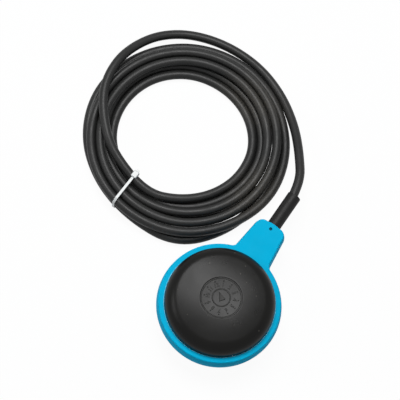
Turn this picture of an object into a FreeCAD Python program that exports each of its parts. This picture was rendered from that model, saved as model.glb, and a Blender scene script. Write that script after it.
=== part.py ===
import FreeCAD, Part

import math
import os

import Sketcher

# Cable float switch: a round float with a neck, two domes, a sealed capsule with a ball switch
# inside, and a coiled cable. +X runs along the neck, +Z is up, and the origin is the centre of the
# lower dome's flat resting face. Every length is in millimetres and every angle in degrees.

Vector = FreeCAD.Vector
X_AXIS = Vector(1, 0, 0)
Z_AXIS = Vector(0, 0, 1)

SIZES = {
    # Housing: ring and neck in one moulding, parted at its middle plane
    "lip_rise": 9.0,
    "wall_draft": 12.0,
    "waist_rounding": 18.0,
    "lip_rounding": 1.0,
    "housing_wall": 2.5,
    "lip_width": 6.4,
    "neck_reach": 82.8,
    "neck_root_place": 53.8,
    "neck_root_half": 17.2,
    "neck_end_place": 77.0,
    "neck_end_half": 14.6,
    "neck_root_rounding": 4.0,
    "neck_corner_radius": 8.0,
    "collar_length": 12.0,
    "collar_radius": 8.5,
    "pin_hole_radius": 1.4,
    "pin_hole_depth": 2.5,
    "pin_hole_inset": 6.3,
    # Domes
    "dome_room": 11.55,
    "crown_radius": 200.0,
    "shoulder_radius": 12.0,
    "dome_wall": 2.2,
    "dome_gap": 0.1,
    "flange_reach": 2.0,
    "badge_radius": 17.25,
    "badge_step": 0.095,
    "post_radius": 3.0,
    "post_along": 16.0,
    "post_across": 11.0,
    # Cable and its sleeve
    "cable_radius": 4.0,
    "cable_gap": 0.05,
    "sleeve_radius": 5.95,
    "sleeve_mouth": 115.0,
    "sleeve_overlap": 15.0,
    "key_thick": 2.0,
    "key_half_width": 7.5,
    "key_half_rise": 6.2,
    "core_radius": 1.1,
    "core_offset": 1.4,
    # Capsule that holds the switch
    "capsule_room": 1.8,
    "wire_room": 11.5,
    "switch_room": 2.1,
    "capsule_half_rise": 12.5,
    "capsule_corner": 5.0,
    "capsule_wall": 2.0,
    "lid_thick": 2.2,
    "gasket_thick": 0.8,
    "boss_radius": 3.2,
    "boss_inset": 5.0,
    "screw_radius": 1.2,
    "screw_gap": 0.05,
    "screw_length": 10.0,
    "head_radius": 2.4,
    "head_rise": 1.6,
    "head_slot": 0.7,
    "port_radius": 6.5,
    "port_length": 8.0,
    "seal_radius": 5.4,
    "seal_length": 4.3,
    "seal_proud": 0.3,
    "nut_half_flats": 8.5,
    "nut_length": 9.5,
    "nut_gap": 0.05,
    # Ball and its track
    "ball_radius": 6.5,
    "ball_gap": 0.3,
    "ball_travel": 14.0,
    "ball_stop_gap": 0.4,
    "track_gap": 0.86,
    "track_fit": 0.2,
    "track_half_width": 9.0,
    "track_floor": 1.5,
    "track_rise": 10.5,
    # Microswitch
    "switch_depth": 15.9,
    "switch_half_width": 13.9,
    "switch_rise": 10.3,
    "switch_cover_rise": 3.6,
    "switch_face": 6.6,
    "switch_rounding": 0.8,
    "switch_screw_radius": 1.5,
    "switch_screw_inset": 4.0,
    "switch_screw_side": 2.8,
    "ear_reach": 2.6,
    "ear_thick": 1.85,
    "ear_width": 3.0,
    "hinge_reach": 1.4,
    "hinge_side": 1.5,
    "hinge_pin_radius": 0.5,
    "hinge_gap": 0.05,
    "lever_curl_radius": 1.1,
    "lever_thick": 0.5,
    "lever_width": 6.0,
    "lever_length": 21.4,
    "lever_swing": 6.0,
    "plunger_radius": 1.2,
    "plunger_place": 4.0,
    "plunger_length": 8.0,
    "plunger_travel": 0.85,
    "plunger_gap": 0.35,
    "plunger_bore_gap": 0.2,
    "blade_length": 6.3,
    "blade_width": 3.2,
    "blade_thick": 0.5,
    "blade_pitch": 8.0,
    "connector_length": 6.5,
    "connector_width": 4.2,
    "connector_rise": 2.2,
    "connector_set_back": 1.7,
    # Coil of cable and its tie
    "coil_place_along": 110.0,
    "coil_place_across": 107.0,
    "coil_rise": 15.0,
    "coil_rounding": 3.6,
    "tie_bearing": 167.0,
    "tie_width": 2.6,
    "tie_thick": 1.2,
    "tie_gap": 0.15,
    "tie_inner_radius": 57.8,
    "tie_bundle_width": 27.6,
    "tie_head_length": 6.4,
    "tie_head_width": 5.2,
    "tie_head_rise": 4.2,
    "tie_tail": 4.0,
}

# Bearings of the coil's outline seen from above, every thirty degrees from +X, with the outer and
# the inner radius there.
COIL_OUTER = (89.8, 91.5, 92.1, 92.0, 88.3, 85.6, 87.7, 93.9, 89.8, 90.8, 90.8, 90.8)
COIL_INNER = (56.0, 59.6, 60.3, 60.8, 61.1, 60.0, 56.5, 51.0, 49.8, 52.8, 55.2, 56.2)

# Corners of the free cable's route, from inside the sleeve to where it joins the coil.
CABLE_ROUTE = (
    (100.0, 0.0, 25.0),
    (129.0, 0.0, 25.0),
    (155.0, 15.5, 18.5),
    (177.0, 36.5, 10.0),
    (194.0, 62.0, 5.0),
    (207.5, 93.0, 4.3),
    (208.0, 126.3, 4.4),
    (198.4, 159.8, 4.9),
    (182.2, 182.4, 8.0),
    (158.6, 195.2, 14.0),
    (132.0, 196.6, 20.5),
    (104.0, 188.6, 21.5),
    (78.6, 170.8, 21.0),
    (61.5, 149.5, 17.0),
    (54.4, 131.0, 9.5),
)
CORNER_SHARE = 0.45

doc = FreeCAD.newDocument("CableFloatSwitch")
sheet = doc.addObject("Spreadsheet::Sheet", "Sizes")
for row, (alias, value) in enumerate(SIZES.items(), start=1):
    sheet.set("A%d" % row, alias)
    sheet.set("B%d" % row, str(value))
    sheet.setAlias("B%d" % row, alias)
doc.recompute()

NODES = {}


def size(text):
    """Number that an expression on the sheet's cells stands for now."""
    return float(sheet.evalExpression(bound(text)))


def bound(text):
    """The expression with each size name pointed at its cell."""
    words = []
    for piece in text.replace("(", "( ").replace(")", " )").split():
        words.append("Sizes." + piece if piece in SIZES else piece)
    return " ".join(words)


# Places that follow from the sizes, counted from the float's middle
CROWN = "( capsule_half_rise + head_rise + dome_room )"
BADGE_DROP = "( crown_radius - sqrt( crown_radius * crown_radius - badge_radius * badge_radius ) )"
MIDDLE = "( " + CROWN + " - " + BADGE_DROP + " + badge_step )"
AXIS_DROP = "( capsule_half_rise - capsule_wall - track_floor - ball_radius - ball_gap )"
SWITCH_BACK = "( switch_depth - switch_face )"
SCREW_ACROSS = "( switch_half_width - switch_screw_side )"
HINGE_ACROSS = "( switch_half_width - hinge_side )"
LEVER_FACE = "( switch_face + hinge_reach + lever_curl_radius )"
BALL_BACK = "( " + LEVER_FACE + " + ball_stop_gap + ball_radius + ball_travel )"
TRACK_BACK = "( " + BALL_BACK + " + ball_radius + ball_gap )"
TRACK_FRONT = "( " + LEVER_FACE + " + lever_length * sin( lever_swing ) + track_gap )"
CAPSULE_BACK = "( " + TRACK_BACK + " + track_fit + capsule_wall )"
CAPSULE_FRONT = "( " + SWITCH_BACK + " + connector_set_back + connector_length + wire_room )"
CAPSULE_SIDE = "( switch_half_width + switch_room + capsule_wall )"
CORNER_ALONG = "( " + CAPSULE_BACK + " - capsule_corner )"
CORNER_ACROSS = "( " + CAPSULE_SIDE + " - capsule_corner )"
CORNER_REACH = ("( sqrt( " + CORNER_ALONG + " * " + CORNER_ALONG + " + "
                + CORNER_ACROSS + " * " + CORNER_ACROSS + " ) + capsule_corner )")
RIM = "( " + CORNER_REACH + " + capsule_room + dome_wall )"
OPENING = "( " + RIM + " + dome_gap )"
RING = "( " + OPENING + " + lip_width )"
CASE_RIM = "( capsule_half_rise - lid_thick - gasket_thick )"


def keep(node, thing):
    """Give a finished sub-part its node name."""
    thing.Label = node
    NODES[node] = thing
    return thing


def bind(thing, **cells):
    """Bind properties of an object to expressions on the sheet."""
    for prop, text in cells.items():
        thing.setExpression(prop.replace("__", "."), bound(text))
    return thing


def place(thing, along="0", across="0", rise="0"):
    """Put an object at a place given by expressions; rise counts from the middle plane."""
    thing.setExpression("Placement.Base.x", bound(along))
    thing.setExpression("Placement.Base.y", bound(across))
    thing.setExpression("Placement.Base.z", bound(MIDDLE + " + " + rise))
    return thing


def box(name, lengths, corner):
    made = doc.addObject("Part::Box", name)
    bind(made, Length=lengths[0], Width=lengths[1], Height=lengths[2])
    return place(made, *corner)


def rod(name, radius, length, start, axis="Z"):
    """Cylinder from a start point along +X or +Z."""
    made = doc.addObject("Part::Cylinder", name)
    bind(made, Radius=radius, Height=length)
    if axis == "X":
        made.Placement = FreeCAD.Placement(Vector(), FreeCAD.Rotation(Z_AXIS, X_AXIS))
    return place(made, *start)


def cut(name, base, tool):
    made = doc.addObject("Part::Cut", name)
    made.Base = base
    made.Tool = tool
    return made


def join(name, shapes):
    made = doc.addObject("Part::MultiFuse", name)
    made.Shapes = shapes
    return made


def new_body(node):
    """Body whose own height zero is the float's middle plane."""
    body = doc.addObject("PartDesign::Body", node)
    place(body)
    return keep(node, body)


def new_sketch(body, name, role, lift="0"):
    """Sketch on one of the body's origin planes, moved along that plane's normal."""
    plane = [item for item in body.Origin.OriginFeatures if item.Role == role][0]
    sketch = body.newObject("Sketcher::SketchObject", name)
    sketch.AttachmentSupport = [(plane, "")]
    sketch.MapMode = "FlatFace"
    sketch.setExpression("AttachmentOffset.Base.z", bound(lift))
    return sketch


def fix(sketch, constraint, text):
    """Add a dimension and drive it by an expression."""
    index = sketch.addConstraint(constraint)
    name = "size%d" % index
    sketch.renameConstraint(index, name)
    sketch.setExpression("Constraints." + name, bound(text))


def fix_point(sketch, edge, end, across, up):
    """Drive both coordinates of an edge's end."""
    for kind, axis, text in (("DistanceX", -2, across), ("DistanceY", -1, up)):
        if text == "0":
            sketch.addConstraint(Sketcher.Constraint("PointOnObject", edge, end, axis))
        else:
            fix(sketch, Sketcher.Constraint(kind, -1, 1, edge, end, size(text)), text)


def draw_polygon(sketch, corners):
    """Closed outline of straight edges through corners given by expressions."""
    points = [Vector(size(across), size(up), 0) for across, up in corners]
    first = sketch.GeometryCount
    for index, point in enumerate(points):
        following = points[(index + 1) % len(points)]
        sketch.addGeometry(Part.LineSegment(point, following), False)
    for index, (across, up) in enumerate(corners):
        before = first + (index - 1) % len(corners)
        sketch.addConstraint(Sketcher.Constraint("Coincident", before, 2, first + index, 1))
        fix_point(sketch, first + index, 1, across, up)


def draw_circle(sketch, radius, across="0", up="0"):
    centre = Vector(size(across), size(up), 0)
    edge = sketch.addGeometry(Part.Circle(centre, Z_AXIS, size(radius)), False)
    fix(sketch, Sketcher.Constraint("Radius", edge, size(radius)), radius)
    fix_point(sketch, edge, 3, across, up)


def draw_box(sketch, low, high):
    """Rectangle between two corners given by expressions."""
    draw_polygon(sketch, [(low[0], low[1]), (high[0], low[1]), (high[0], high[1]), (low[0], high[1])])


def pad(body, sketch, length, back=None, draft=None, reverse=False):
    """Pad one way, or both ways with a draft."""
    made = body.newObject("PartDesign::Pad", "Pad" + sketch.Name)
    return shape_feature(made, sketch, length, back, draft, reverse)


def pocket(body, sketch, length, back=None, draft=None, reverse=False):
    made = body.newObject("PartDesign::Pocket", "Pocket" + sketch.Name)
    return shape_feature(made, sketch, length, back, draft, reverse)


def shape_feature(made, sketch, length, back, draft, reverse):
    made.Profile = sketch
    made.Reversed = reverse
    bind(made, Length=length)
    if back is not None:
        made.SideType = "Two sides"
        bind(made, Length2=back)
    if draft is not None:
        bind(made, TaperAngle=draft, TaperAngle2=draft)
    sketch.Visibility = False
    return made


def revolve(body, sketch, axis):
    made = body.newObject("PartDesign::Revolution", "Turn" + sketch.Name)
    made.Profile = sketch
    made.ReferenceAxis = (sketch, [axis])
    made.Angle = 360
    return made


def round_edges(body, name, radius, chosen):
    """Fillet the edges of the body's tip that the test picks."""
    doc.recompute()
    base = body.Tip
    names = ["Edge%d" % count for count, edge in enumerate(base.Shape.Edges, start=1) if chosen(edge)]
    made = body.newObject("PartDesign::Fillet", name)
    made.Base = (base, names)
    bind(made, Radius=radius)
    return made


def flat_at(edge, height):
    """Whether an edge lies at one height of the body's own frame."""
    near = edge.BoundBox
    return near.ZLength < 0.01 and abs(near.ZMin - height) < 0.01


def upright(edge):
    near = edge.BoundBox
    return near.ZLength > 0.5 and near.XLength < 0.01 and near.YLength < 0.01


# Housing


def draw_paddle(sketch, inset):
    """Plan of the ring and its tapered neck, drawn inwards by a wall where one is named."""
    less = "" if inset is None else " - " + inset
    more = "" if inset is None else " + " + inset
    ring = RING + less
    reach = "neck_reach" + less
    corner = "neck_corner_radius" + less
    root = "neck_root_rounding" + more
    guides = (("neck_root_place", "neck_root_half" + less), ("neck_end_place", "neck_end_half" + less))

    near, far = [Vector(size(along), size(half), 0) for along, half in guides]
    along = (far - near).normalize()
    outward = Vector(-along.y, along.x, 0)
    offset = near.dot(outward)
    ring_size, root_size, corner_size, reach_size = size(ring), size(root), size(corner), size(reach)
    root_offset = offset + root_size
    run = math.sqrt((ring_size + root_size) ** 2 - root_offset ** 2)
    root_centre = outward * root_offset + along * run
    corner_centre = outward * (offset - corner_size)
    corner_centre += along * ((reach_size - corner_size - corner_centre.x) / along.x)
    lean = math.atan2(outward.y, outward.x)
    root_bearing = math.atan2(root_centre.y, root_centre.x)
    ring_turn = root_bearing
    side_start = root_centre - outward * root_size
    side_end = corner_centre + outward * corner_size

    def arc(centre, radius, start, end):
        circle = Part.Circle(centre, Z_AXIS, radius)
        return sketch.addGeometry(Part.ArcOfCircle(circle, start, end), False)

    def line(start, end):
        return sketch.addGeometry(Part.LineSegment(start, end), False)

    def mirrored(point):
        return Vector(point.x, -point.y, 0)

    turn = 2 * math.pi
    ring_arc = arc(Vector(), ring_size, ring_turn, turn - ring_turn)
    upper_root = arc(root_centre, root_size, math.pi + root_bearing, math.pi + lean)
    upper_side = line(side_start, side_end)
    upper_corner = arc(corner_centre, corner_size, 0, lean)
    end_start = corner_centre + X_AXIS * corner_size
    end_line = line(end_start, mirrored(end_start))
    lower_corner = arc(mirrored(corner_centre), corner_size, turn - lean, turn)
    lower_side = line(mirrored(side_end), mirrored(side_start))
    lower_root = arc(mirrored(root_centre), root_size, math.pi - lean, math.pi - root_bearing)

    joints = (
        (ring_arc, 1, upper_root, 1),
        (upper_root, 2, upper_side, 1),
        (upper_side, 2, upper_corner, 2),
        (upper_corner, 1, end_line, 1),
        (end_line, 2, lower_corner, 2),
        (lower_corner, 1, lower_side, 1),
        (lower_side, 2, lower_root, 1),
        (lower_root, 2, ring_arc, 2),
    )
    for joint in joints:
        sketch.addConstraint(Sketcher.Constraint("Tangent", *joint))
    sketch.addConstraint(Sketcher.Constraint("Coincident", ring_arc, 3, -1, 1))
    fix(sketch, Sketcher.Constraint("Radius", ring_arc, ring_size), ring)
    fix(sketch, Sketcher.Constraint("Radius", upper_root, root_size), root)
    fix(sketch, Sketcher.Constraint("Radius", upper_corner, corner_size), corner)
    sketch.addConstraint(Sketcher.Constraint("Equal", upper_root, lower_root))
    sketch.addConstraint(Sketcher.Constraint("Equal", upper_corner, lower_corner))
    sketch.addConstraint(Sketcher.Constraint("Symmetric", upper_corner, 3, lower_corner, 3, -1))
    sketch.addConstraint(Sketcher.Constraint("Vertical", upper_root, 3, lower_root, 3))
    fix(sketch, Sketcher.Constraint("DistanceX", -1, 1, end_line, 1, reach_size), reach)
    for (place_text, half_text), point in zip(guides, (near, far)):
        guide = sketch.addGeometry(Part.Point(point), True)
        fix_point(sketch, guide, 1, place_text, half_text)
        sketch.addConstraint(Sketcher.Constraint("PointOnObject", guide, 1, upper_side))


def make_housing():
    body = new_body("float_housing")
    outside = new_sketch(body, "HousingPlan", "XY_Plane")
    draw_paddle(outside, None)
    pad(body, outside, "lip_rise", "lip_rise", "-1 * wall_draft")
    round_edges(body, "Waist", "waist_rounding", lambda edge: flat_at(edge, 0))
    lip = size("lip_rise")
    round_edges(body, "Lips", "lip_rounding", lambda edge: flat_at(edge, lip) or flat_at(edge, -lip))

    hollow = new_sketch(body, "HousingHollow", "XY_Plane")
    draw_paddle(hollow, "housing_wall")
    depth = "lip_rise - housing_wall"
    pocket(body, hollow, depth, depth, "-1 * wall_draft")

    opening = new_sketch(body, "Opening", "XY_Plane")
    draw_circle(opening, OPENING)
    pocket(body, opening, "lip_rise + 1", "lip_rise + 1")

    collar = new_sketch(body, "Collar", "YZ_Plane", "neck_reach - collar_length")
    draw_circle(collar, "collar_radius")
    pad(body, collar, "collar_length - housing_wall / 2")
    bore = new_sketch(body, "CollarBore", "YZ_Plane", "neck_reach - collar_length - 1")
    draw_circle(bore, "sleeve_radius + cable_gap")
    pocket(body, bore, "collar_length + 3", reverse=True)

    pin = new_sketch(body, "PinHole", "XY_Plane", "lip_rise")
    draw_circle(pin, "pin_hole_radius", "neck_reach - pin_hole_inset")
    pocket(body, pin, "pin_hole_depth")


# Domes


def draw_dome(sketch):
    """Half section of a dome: badge, crown arc, shoulder arc, rim, flange and the same wall inside."""
    crown, shoulder, wall = size("crown_radius"), size("shoulder_radius"), size("dome_wall")
    rim, badge = size(RIM), size("badge_radius")
    crown_centre = Vector(0, size(CROWN) - crown, 0)
    reach = math.sqrt((crown - shoulder) ** 2 - (rim - shoulder) ** 2)
    shoulder_centre = Vector(rim - shoulder, crown_centre.y + reach, 0)
    lean = math.atan2(shoulder_centre.y - crown_centre.y, shoulder_centre.x)
    step = math.acos(badge / crown)
    flange_top = "( lip_rise - housing_wall - dome_gap )"

    def arc(centre, radius, start, end):
        circle = Part.Circle(centre, Z_AXIS, radius)
        return sketch.addGeometry(Part.ArcOfCircle(circle, start, end), False)

    def line(*ends):
        start, end = [Vector(across, up, 0) for across, up in ends]
        return sketch.addGeometry(Part.LineSegment(start, end), False)

    top = size(MIDDLE)
    inner_top = crown_centre.y + crown - wall
    step_height = crown_centre.y + crown * math.sin(step)
    ledge, edge_radius = size(flange_top), size(RIM + " + flange_reach")
    badge_face = line((0, top), (badge, top))
    badge_step = line((badge, top), (badge, step_height))
    crown_arc = arc(crown_centre, crown, lean, step)
    shoulder_arc = arc(shoulder_centre, shoulder, 0, lean)
    rim_line = line((rim, shoulder_centre.y), (rim, ledge))
    ledge_line = line((rim, ledge), (edge_radius, ledge))
    flange_line = line((edge_radius, ledge), (edge_radius, 0))
    foot_line = line((edge_radius, 0), (rim - wall, 0))
    inner_line = line((rim - wall, 0), (rim - wall, shoulder_centre.y))
    inner_shoulder = arc(shoulder_centre, shoulder - wall, 0, lean)
    inner_crown = arc(crown_centre, crown - wall, lean, math.pi / 2)
    axis_line = line((0, inner_top), (0, top))

    for joint in (
        (crown_arc, 1, shoulder_arc, 2),
        (rim_line, 1, shoulder_arc, 1),
        (inner_line, 2, inner_shoulder, 1),
        (inner_shoulder, 2, inner_crown, 1),
    ):
        sketch.addConstraint(Sketcher.Constraint("Tangent", *joint))
    for joint in (
        (badge_face, 2, badge_step, 1),
        (badge_step, 2, crown_arc, 2),
        (rim_line, 2, ledge_line, 1),
        (ledge_line, 2, flange_line, 1),
        (flange_line, 2, foot_line, 1),
        (foot_line, 2, inner_line, 1),
        (inner_crown, 2, axis_line, 1),
        (axis_line, 2, badge_face, 1),
        (inner_crown, 3, crown_arc, 3),
        (inner_shoulder, 3, shoulder_arc, 3),
    ):
        sketch.addConstraint(Sketcher.Constraint("Coincident", *joint))
    for edge in (badge_face, ledge_line, foot_line):
        sketch.addConstraint(Sketcher.Constraint("Horizontal", edge))
    for edge in (badge_step, rim_line, flange_line):
        sketch.addConstraint(Sketcher.Constraint("Vertical", edge))
    for edge, end in ((badge_face, 1), (inner_crown, 2)):
        sketch.addConstraint(Sketcher.Constraint("PointOnObject", edge, end, -2))
    fix_point(sketch, crown_arc, 3, "0", CROWN + " - crown_radius")
    fix(sketch, Sketcher.Constraint("Radius", crown_arc, crown), "crown_radius")
    fix(sketch, Sketcher.Constraint("Radius", shoulder_arc, shoulder), "shoulder_radius")
    inside = "shoulder_radius - dome_wall"
    fix(sketch, Sketcher.Constraint("Radius", inner_shoulder, size(inside)), inside)
    fix_point(sketch, badge_face, 2, "badge_radius", MIDDLE)
    fix_point(sketch, rim_line, 2, RIM, flange_top)
    fix_point(sketch, flange_line, 2, RIM + " + flange_reach", "0")
    sketch.addConstraint(Sketcher.Constraint("Vertical", inner_line))


def make_dome(node, turned):
    """Domed shell with the cable's notch and four posts; the lower one is the same, turned over."""
    body = new_body(node)
    section = new_sketch(body, node + "_section", "XZ_Plane")
    draw_dome(section)
    revolve(body, section, "V_Axis")

    notch = new_sketch(body, node + "_notch", "YZ_Plane", OPENING + " - 2 * dome_wall")
    draw_circle(notch, "cable_radius + 0.5")
    pocket(body, notch, "3 * dome_wall", reverse=True)

    posts = new_sketch(body, node + "_posts", "XY_Plane", "capsule_half_rise")
    for along in ("post_along", "-1 * post_along"):
        for across in ("post_across", "-1 * post_across"):
            draw_circle(posts, "post_radius", along, across)
    drop = "( post_along * post_along + post_across * post_across ) / ( 2 * crown_radius )"
    pad(body, posts, CROWN + " - capsule_half_rise - dome_wall / 2 - " + drop)
    if turned:
        body.Placement = FreeCAD.Placement(Vector(), FreeCAD.Rotation(X_AXIS, 180))
        place(body)


# Sleeve, cable end and gland


def make_sleeve():
    """Strain relief tube with a keyed foot behind the neck's collar."""
    body = new_body("cable_sleeve")
    foot = "( neck_reach - collar_length - key_thick )"
    key = new_sketch(body, "SleeveKey", "YZ_Plane", foot)
    draw_box(key, ("-1 * key_half_width", "-1 * key_half_rise"), ("key_half_width", "key_half_rise"))
    pad(body, key, "key_thick")
    doc.recompute()
    round_edges(body, "KeyCorners", "key_thick", lambda edge: edge.BoundBox.XLength > 1)
    tube = new_sketch(body, "SleeveTube", "YZ_Plane", foot)
    draw_circle(tube, "sleeve_radius")
    pad(body, tube, "sleeve_mouth - " + foot)
    bore = new_sketch(body, "SleeveBore", "YZ_Plane", foot + " - 1")
    draw_circle(bore, "cable_radius + cable_gap")
    pocket(body, bore, "sleeve_mouth - " + foot + " + 2", reverse=True)


def make_cable_end():
    """Sheathed end of the cable, held in the sleeve, the neck and the capsule's gland."""
    start = "( " + CAPSULE_FRONT + " + 0.5 )"
    length = "sleeve_mouth - sleeve_overlap - " + start
    keep("cable_end", rod("SheathEnd", "cable_radius", length, (start,), "X"))


def make_gland():
    seat = "( " + CAPSULE_FRONT + " + port_length - seal_length + seal_proud )"
    ring = rod("SealRing", "seal_radius - cable_gap", "seal_length", (seat,), "X")
    hole = rod("SealHole", "cable_radius + cable_gap", "seal_length + 2", (seat + " - 1",), "X")
    keep("gland_seal", cut("GlandSeal", ring, hole))

    body = new_body("gland_nut")
    start = "( " + CAPSULE_FRONT + " + port_length + seal_proud )"
    depth = "( nut_length - 2.5 )"
    outside = new_sketch(body, "NutFlats", "YZ_Plane", start + " - " + depth)
    corner = "( nut_half_flats / cos( 30 ) )"
    corners = []
    for count in range(6):
        bearing = "%d" % (60 * count + 30)
        corners.append((corner + " * cos( " + bearing + " )", corner + " * sin( " + bearing + " )"))
    corners = [("0", up) if abs(size(across)) < 1e-6 else (across, up) for across, up in corners]
    draw_polygon(outside, corners)
    pad(body, outside, "nut_length")
    through = new_sketch(body, "NutHole", "YZ_Plane", start + " - nut_length")
    draw_circle(through, "cable_radius + 3 * cable_gap")
    pocket(body, through, "3 * nut_length", reverse=True)
    thread = new_sketch(body, "NutThread", "YZ_Plane", start + " - " + depth)
    draw_circle(thread, "port_radius + nut_gap")
    pocket(body, thread, depth, reverse=True)


# Capsule


def capsule_corners(inset):
    outset = inset.replace("-", "+")
    low = ("-1 * " + CAPSULE_BACK + outset, "-1 * " + CAPSULE_SIDE + outset)
    high = (CAPSULE_FRONT + inset, CAPSULE_SIDE + inset)
    return low, high


def boss_places():
    """Centres of the four lid screws."""
    places = []
    for along in ("-1 * " + CAPSULE_BACK + " + capsule_wall + boss_inset - 1",
                  CAPSULE_FRONT + " - capsule_wall - boss_inset + 1"):
        for across in (CAPSULE_SIDE + " - boss_inset", "-1 * " + CAPSULE_SIDE + " + boss_inset"):
            places.append((along, across))
    return places


def switch_screw_places():
    along = SWITCH_BACK + " - switch_screw_inset"
    return [(along, SCREW_ACROSS), (along, "-1 * " + SCREW_ACROSS)]


def make_capsule_case():
    body = new_body("capsule_case")
    plan = new_sketch(body, "CasePlan", "XY_Plane", "-1 * capsule_half_rise")
    draw_box(plan, *capsule_corners(""))
    pad(body, plan, "capsule_half_rise + " + CASE_RIM)
    round_edges(body, "CaseCorners", "capsule_corner", upright)
    inside = new_sketch(body, "CaseInside", "XY_Plane", CASE_RIM)
    draw_box(inside, *capsule_corners(" - capsule_wall"))
    pocket(body, inside, CASE_RIM + " + capsule_half_rise - capsule_wall")

    bosses = new_sketch(body, "CaseBosses", "XY_Plane", "-1 * capsule_half_rise + capsule_wall / 2")
    for along, across in boss_places():
        draw_circle(bosses, "boss_radius", along, across)
    pad(body, bosses, CASE_RIM + " + capsule_half_rise - capsule_wall / 2")
    pillars = new_sketch(body, "CasePillars", "XY_Plane", "-1 * capsule_half_rise + capsule_wall / 2")
    for along, across in switch_screw_places():
        draw_circle(pillars, "boss_radius", along, across)
    pad(body, pillars, "capsule_half_rise - capsule_wall / 2 - " + AXIS_DROP + " - switch_rise / 2")

    port = new_sketch(body, "CasePort", "YZ_Plane", CAPSULE_FRONT + " - capsule_wall / 2")
    draw_circle(port, "port_radius")
    pad(body, port, "port_length + capsule_wall / 2")
    bore = new_sketch(body, "CasePortBore", "YZ_Plane", CAPSULE_FRONT + " - capsule_wall - 1")
    draw_circle(bore, "cable_radius + 3 * cable_gap")
    pocket(body, bore, "port_length + capsule_wall + 2", reverse=True)
    seat = new_sketch(body, "CaseSealSeat", "YZ_Plane", CAPSULE_FRONT + " + port_length")
    draw_circle(seat, "seal_radius")
    pocket(body, seat, "seal_length - seal_proud")

    holes = new_sketch(body, "CaseScrewHoles", "XY_Plane", CASE_RIM)
    for along, across in boss_places():
        draw_circle(holes, "screw_radius + screw_gap", along, across)
    pocket(body, holes, "screw_length")
    pilots = new_sketch(body, "CasePillarHoles", "XY_Plane", "-1 * " + AXIS_DROP + " - switch_rise / 2")
    for along, across in switch_screw_places():
        draw_circle(pilots, "switch_screw_radius + screw_gap", along, across)
    pocket(body, pilots, "capsule_half_rise - capsule_wall - " + AXIS_DROP + " - switch_rise / 2")


def make_lid(node, bottom, thick, hole_gap, middle_open):
    """Plate on the capsule's rim, or the gasket under it where the middle is open."""
    body = new_body(node)
    plan = new_sketch(body, node + "_plan", "XY_Plane", bottom)
    draw_box(plan, *capsule_corners(""))
    pad(body, plan, thick)
    round_edges(body, node + "_corners", "capsule_corner", upright)
    holes = new_sketch(body, node + "_holes", "XY_Plane", bottom + " + " + thick)
    for along, across in boss_places():
        draw_circle(holes, "screw_radius + " + hole_gap, along, across)
    pocket(body, holes, thick)
    if middle_open:
        middle = new_sketch(body, node + "_middle", "XY_Plane", bottom + " + " + thick)
        draw_box(middle,
                 ("-1 * " + CAPSULE_BACK + " + capsule_wall + 2 * boss_inset",
                  "-1 * " + CAPSULE_SIDE + " + capsule_wall"),
                 (CAPSULE_FRONT + " - capsule_wall - 2 * boss_inset",
                  CAPSULE_SIDE + " - capsule_wall"))
        pocket(body, middle, thick)


def make_screws(node, places, head_bottom, radius, length, head, rise):
    """Slotted pan-head screws as one group of separate solids."""
    screws = []
    for count, (along, across) in enumerate(places):
        name = "%s_%d" % (node, count)
        shank = rod(name + "_shank", radius, length, (along, across, head_bottom + " - " + length))
        cap = rod(name + "_head", head, rise, (along, across, head_bottom))
        whole = join(name + "_whole", [shank, cap])
        slot = box(name + "_slot", ("3 * " + head, "head_slot", rise),
                   (along + " - 1.5 * " + head, across + " - head_slot / 2",
                    head_bottom + " + " + rise + " / 2"))
        screws.append(cut(name + "_screw", whole, slot))
    group = doc.addObject("Part::Compound", node)
    group.Links = screws
    keep(node, group)


# Ball track, ball and microswitch


def make_ball_track():
    body = new_body("ball_track")
    floor = "( -1 * capsule_half_rise + capsule_wall )"
    back, front = "-1 * " + TRACK_BACK, "-1 * " + TRACK_FRONT
    plan = new_sketch(body, "TrackPlan", "XY_Plane", floor)
    draw_box(plan, (back, "-1 * track_half_width"), (front, "track_half_width"))
    pad(body, plan, "track_rise")
    groove = new_sketch(body, "TrackGroove", "YZ_Plane", back + " - 1")
    draw_circle(groove, "ball_radius + ball_gap", "0", "-1 * " + AXIS_DROP)
    pocket(body, groove, TRACK_BACK + " + 2", reverse=True)
    mouth = new_sketch(body, "TrackMouth", "XY_Plane", floor + " + track_rise")
    half = "( ball_radius + ball_gap )"
    draw_box(mouth, (back + " - 1", "-1 * " + half), (front + " + 1", half))
    pocket(body, mouth, floor + " + track_rise + " + AXIS_DROP)


def make_ball():
    ball = doc.addObject("Part::Sphere", "SteelBall")
    bind(ball, Radius="ball_radius")
    place(ball, "-1 * " + BALL_BACK, "0", "-1 * " + AXIS_DROP)
    keep("steel_ball", ball)


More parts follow.
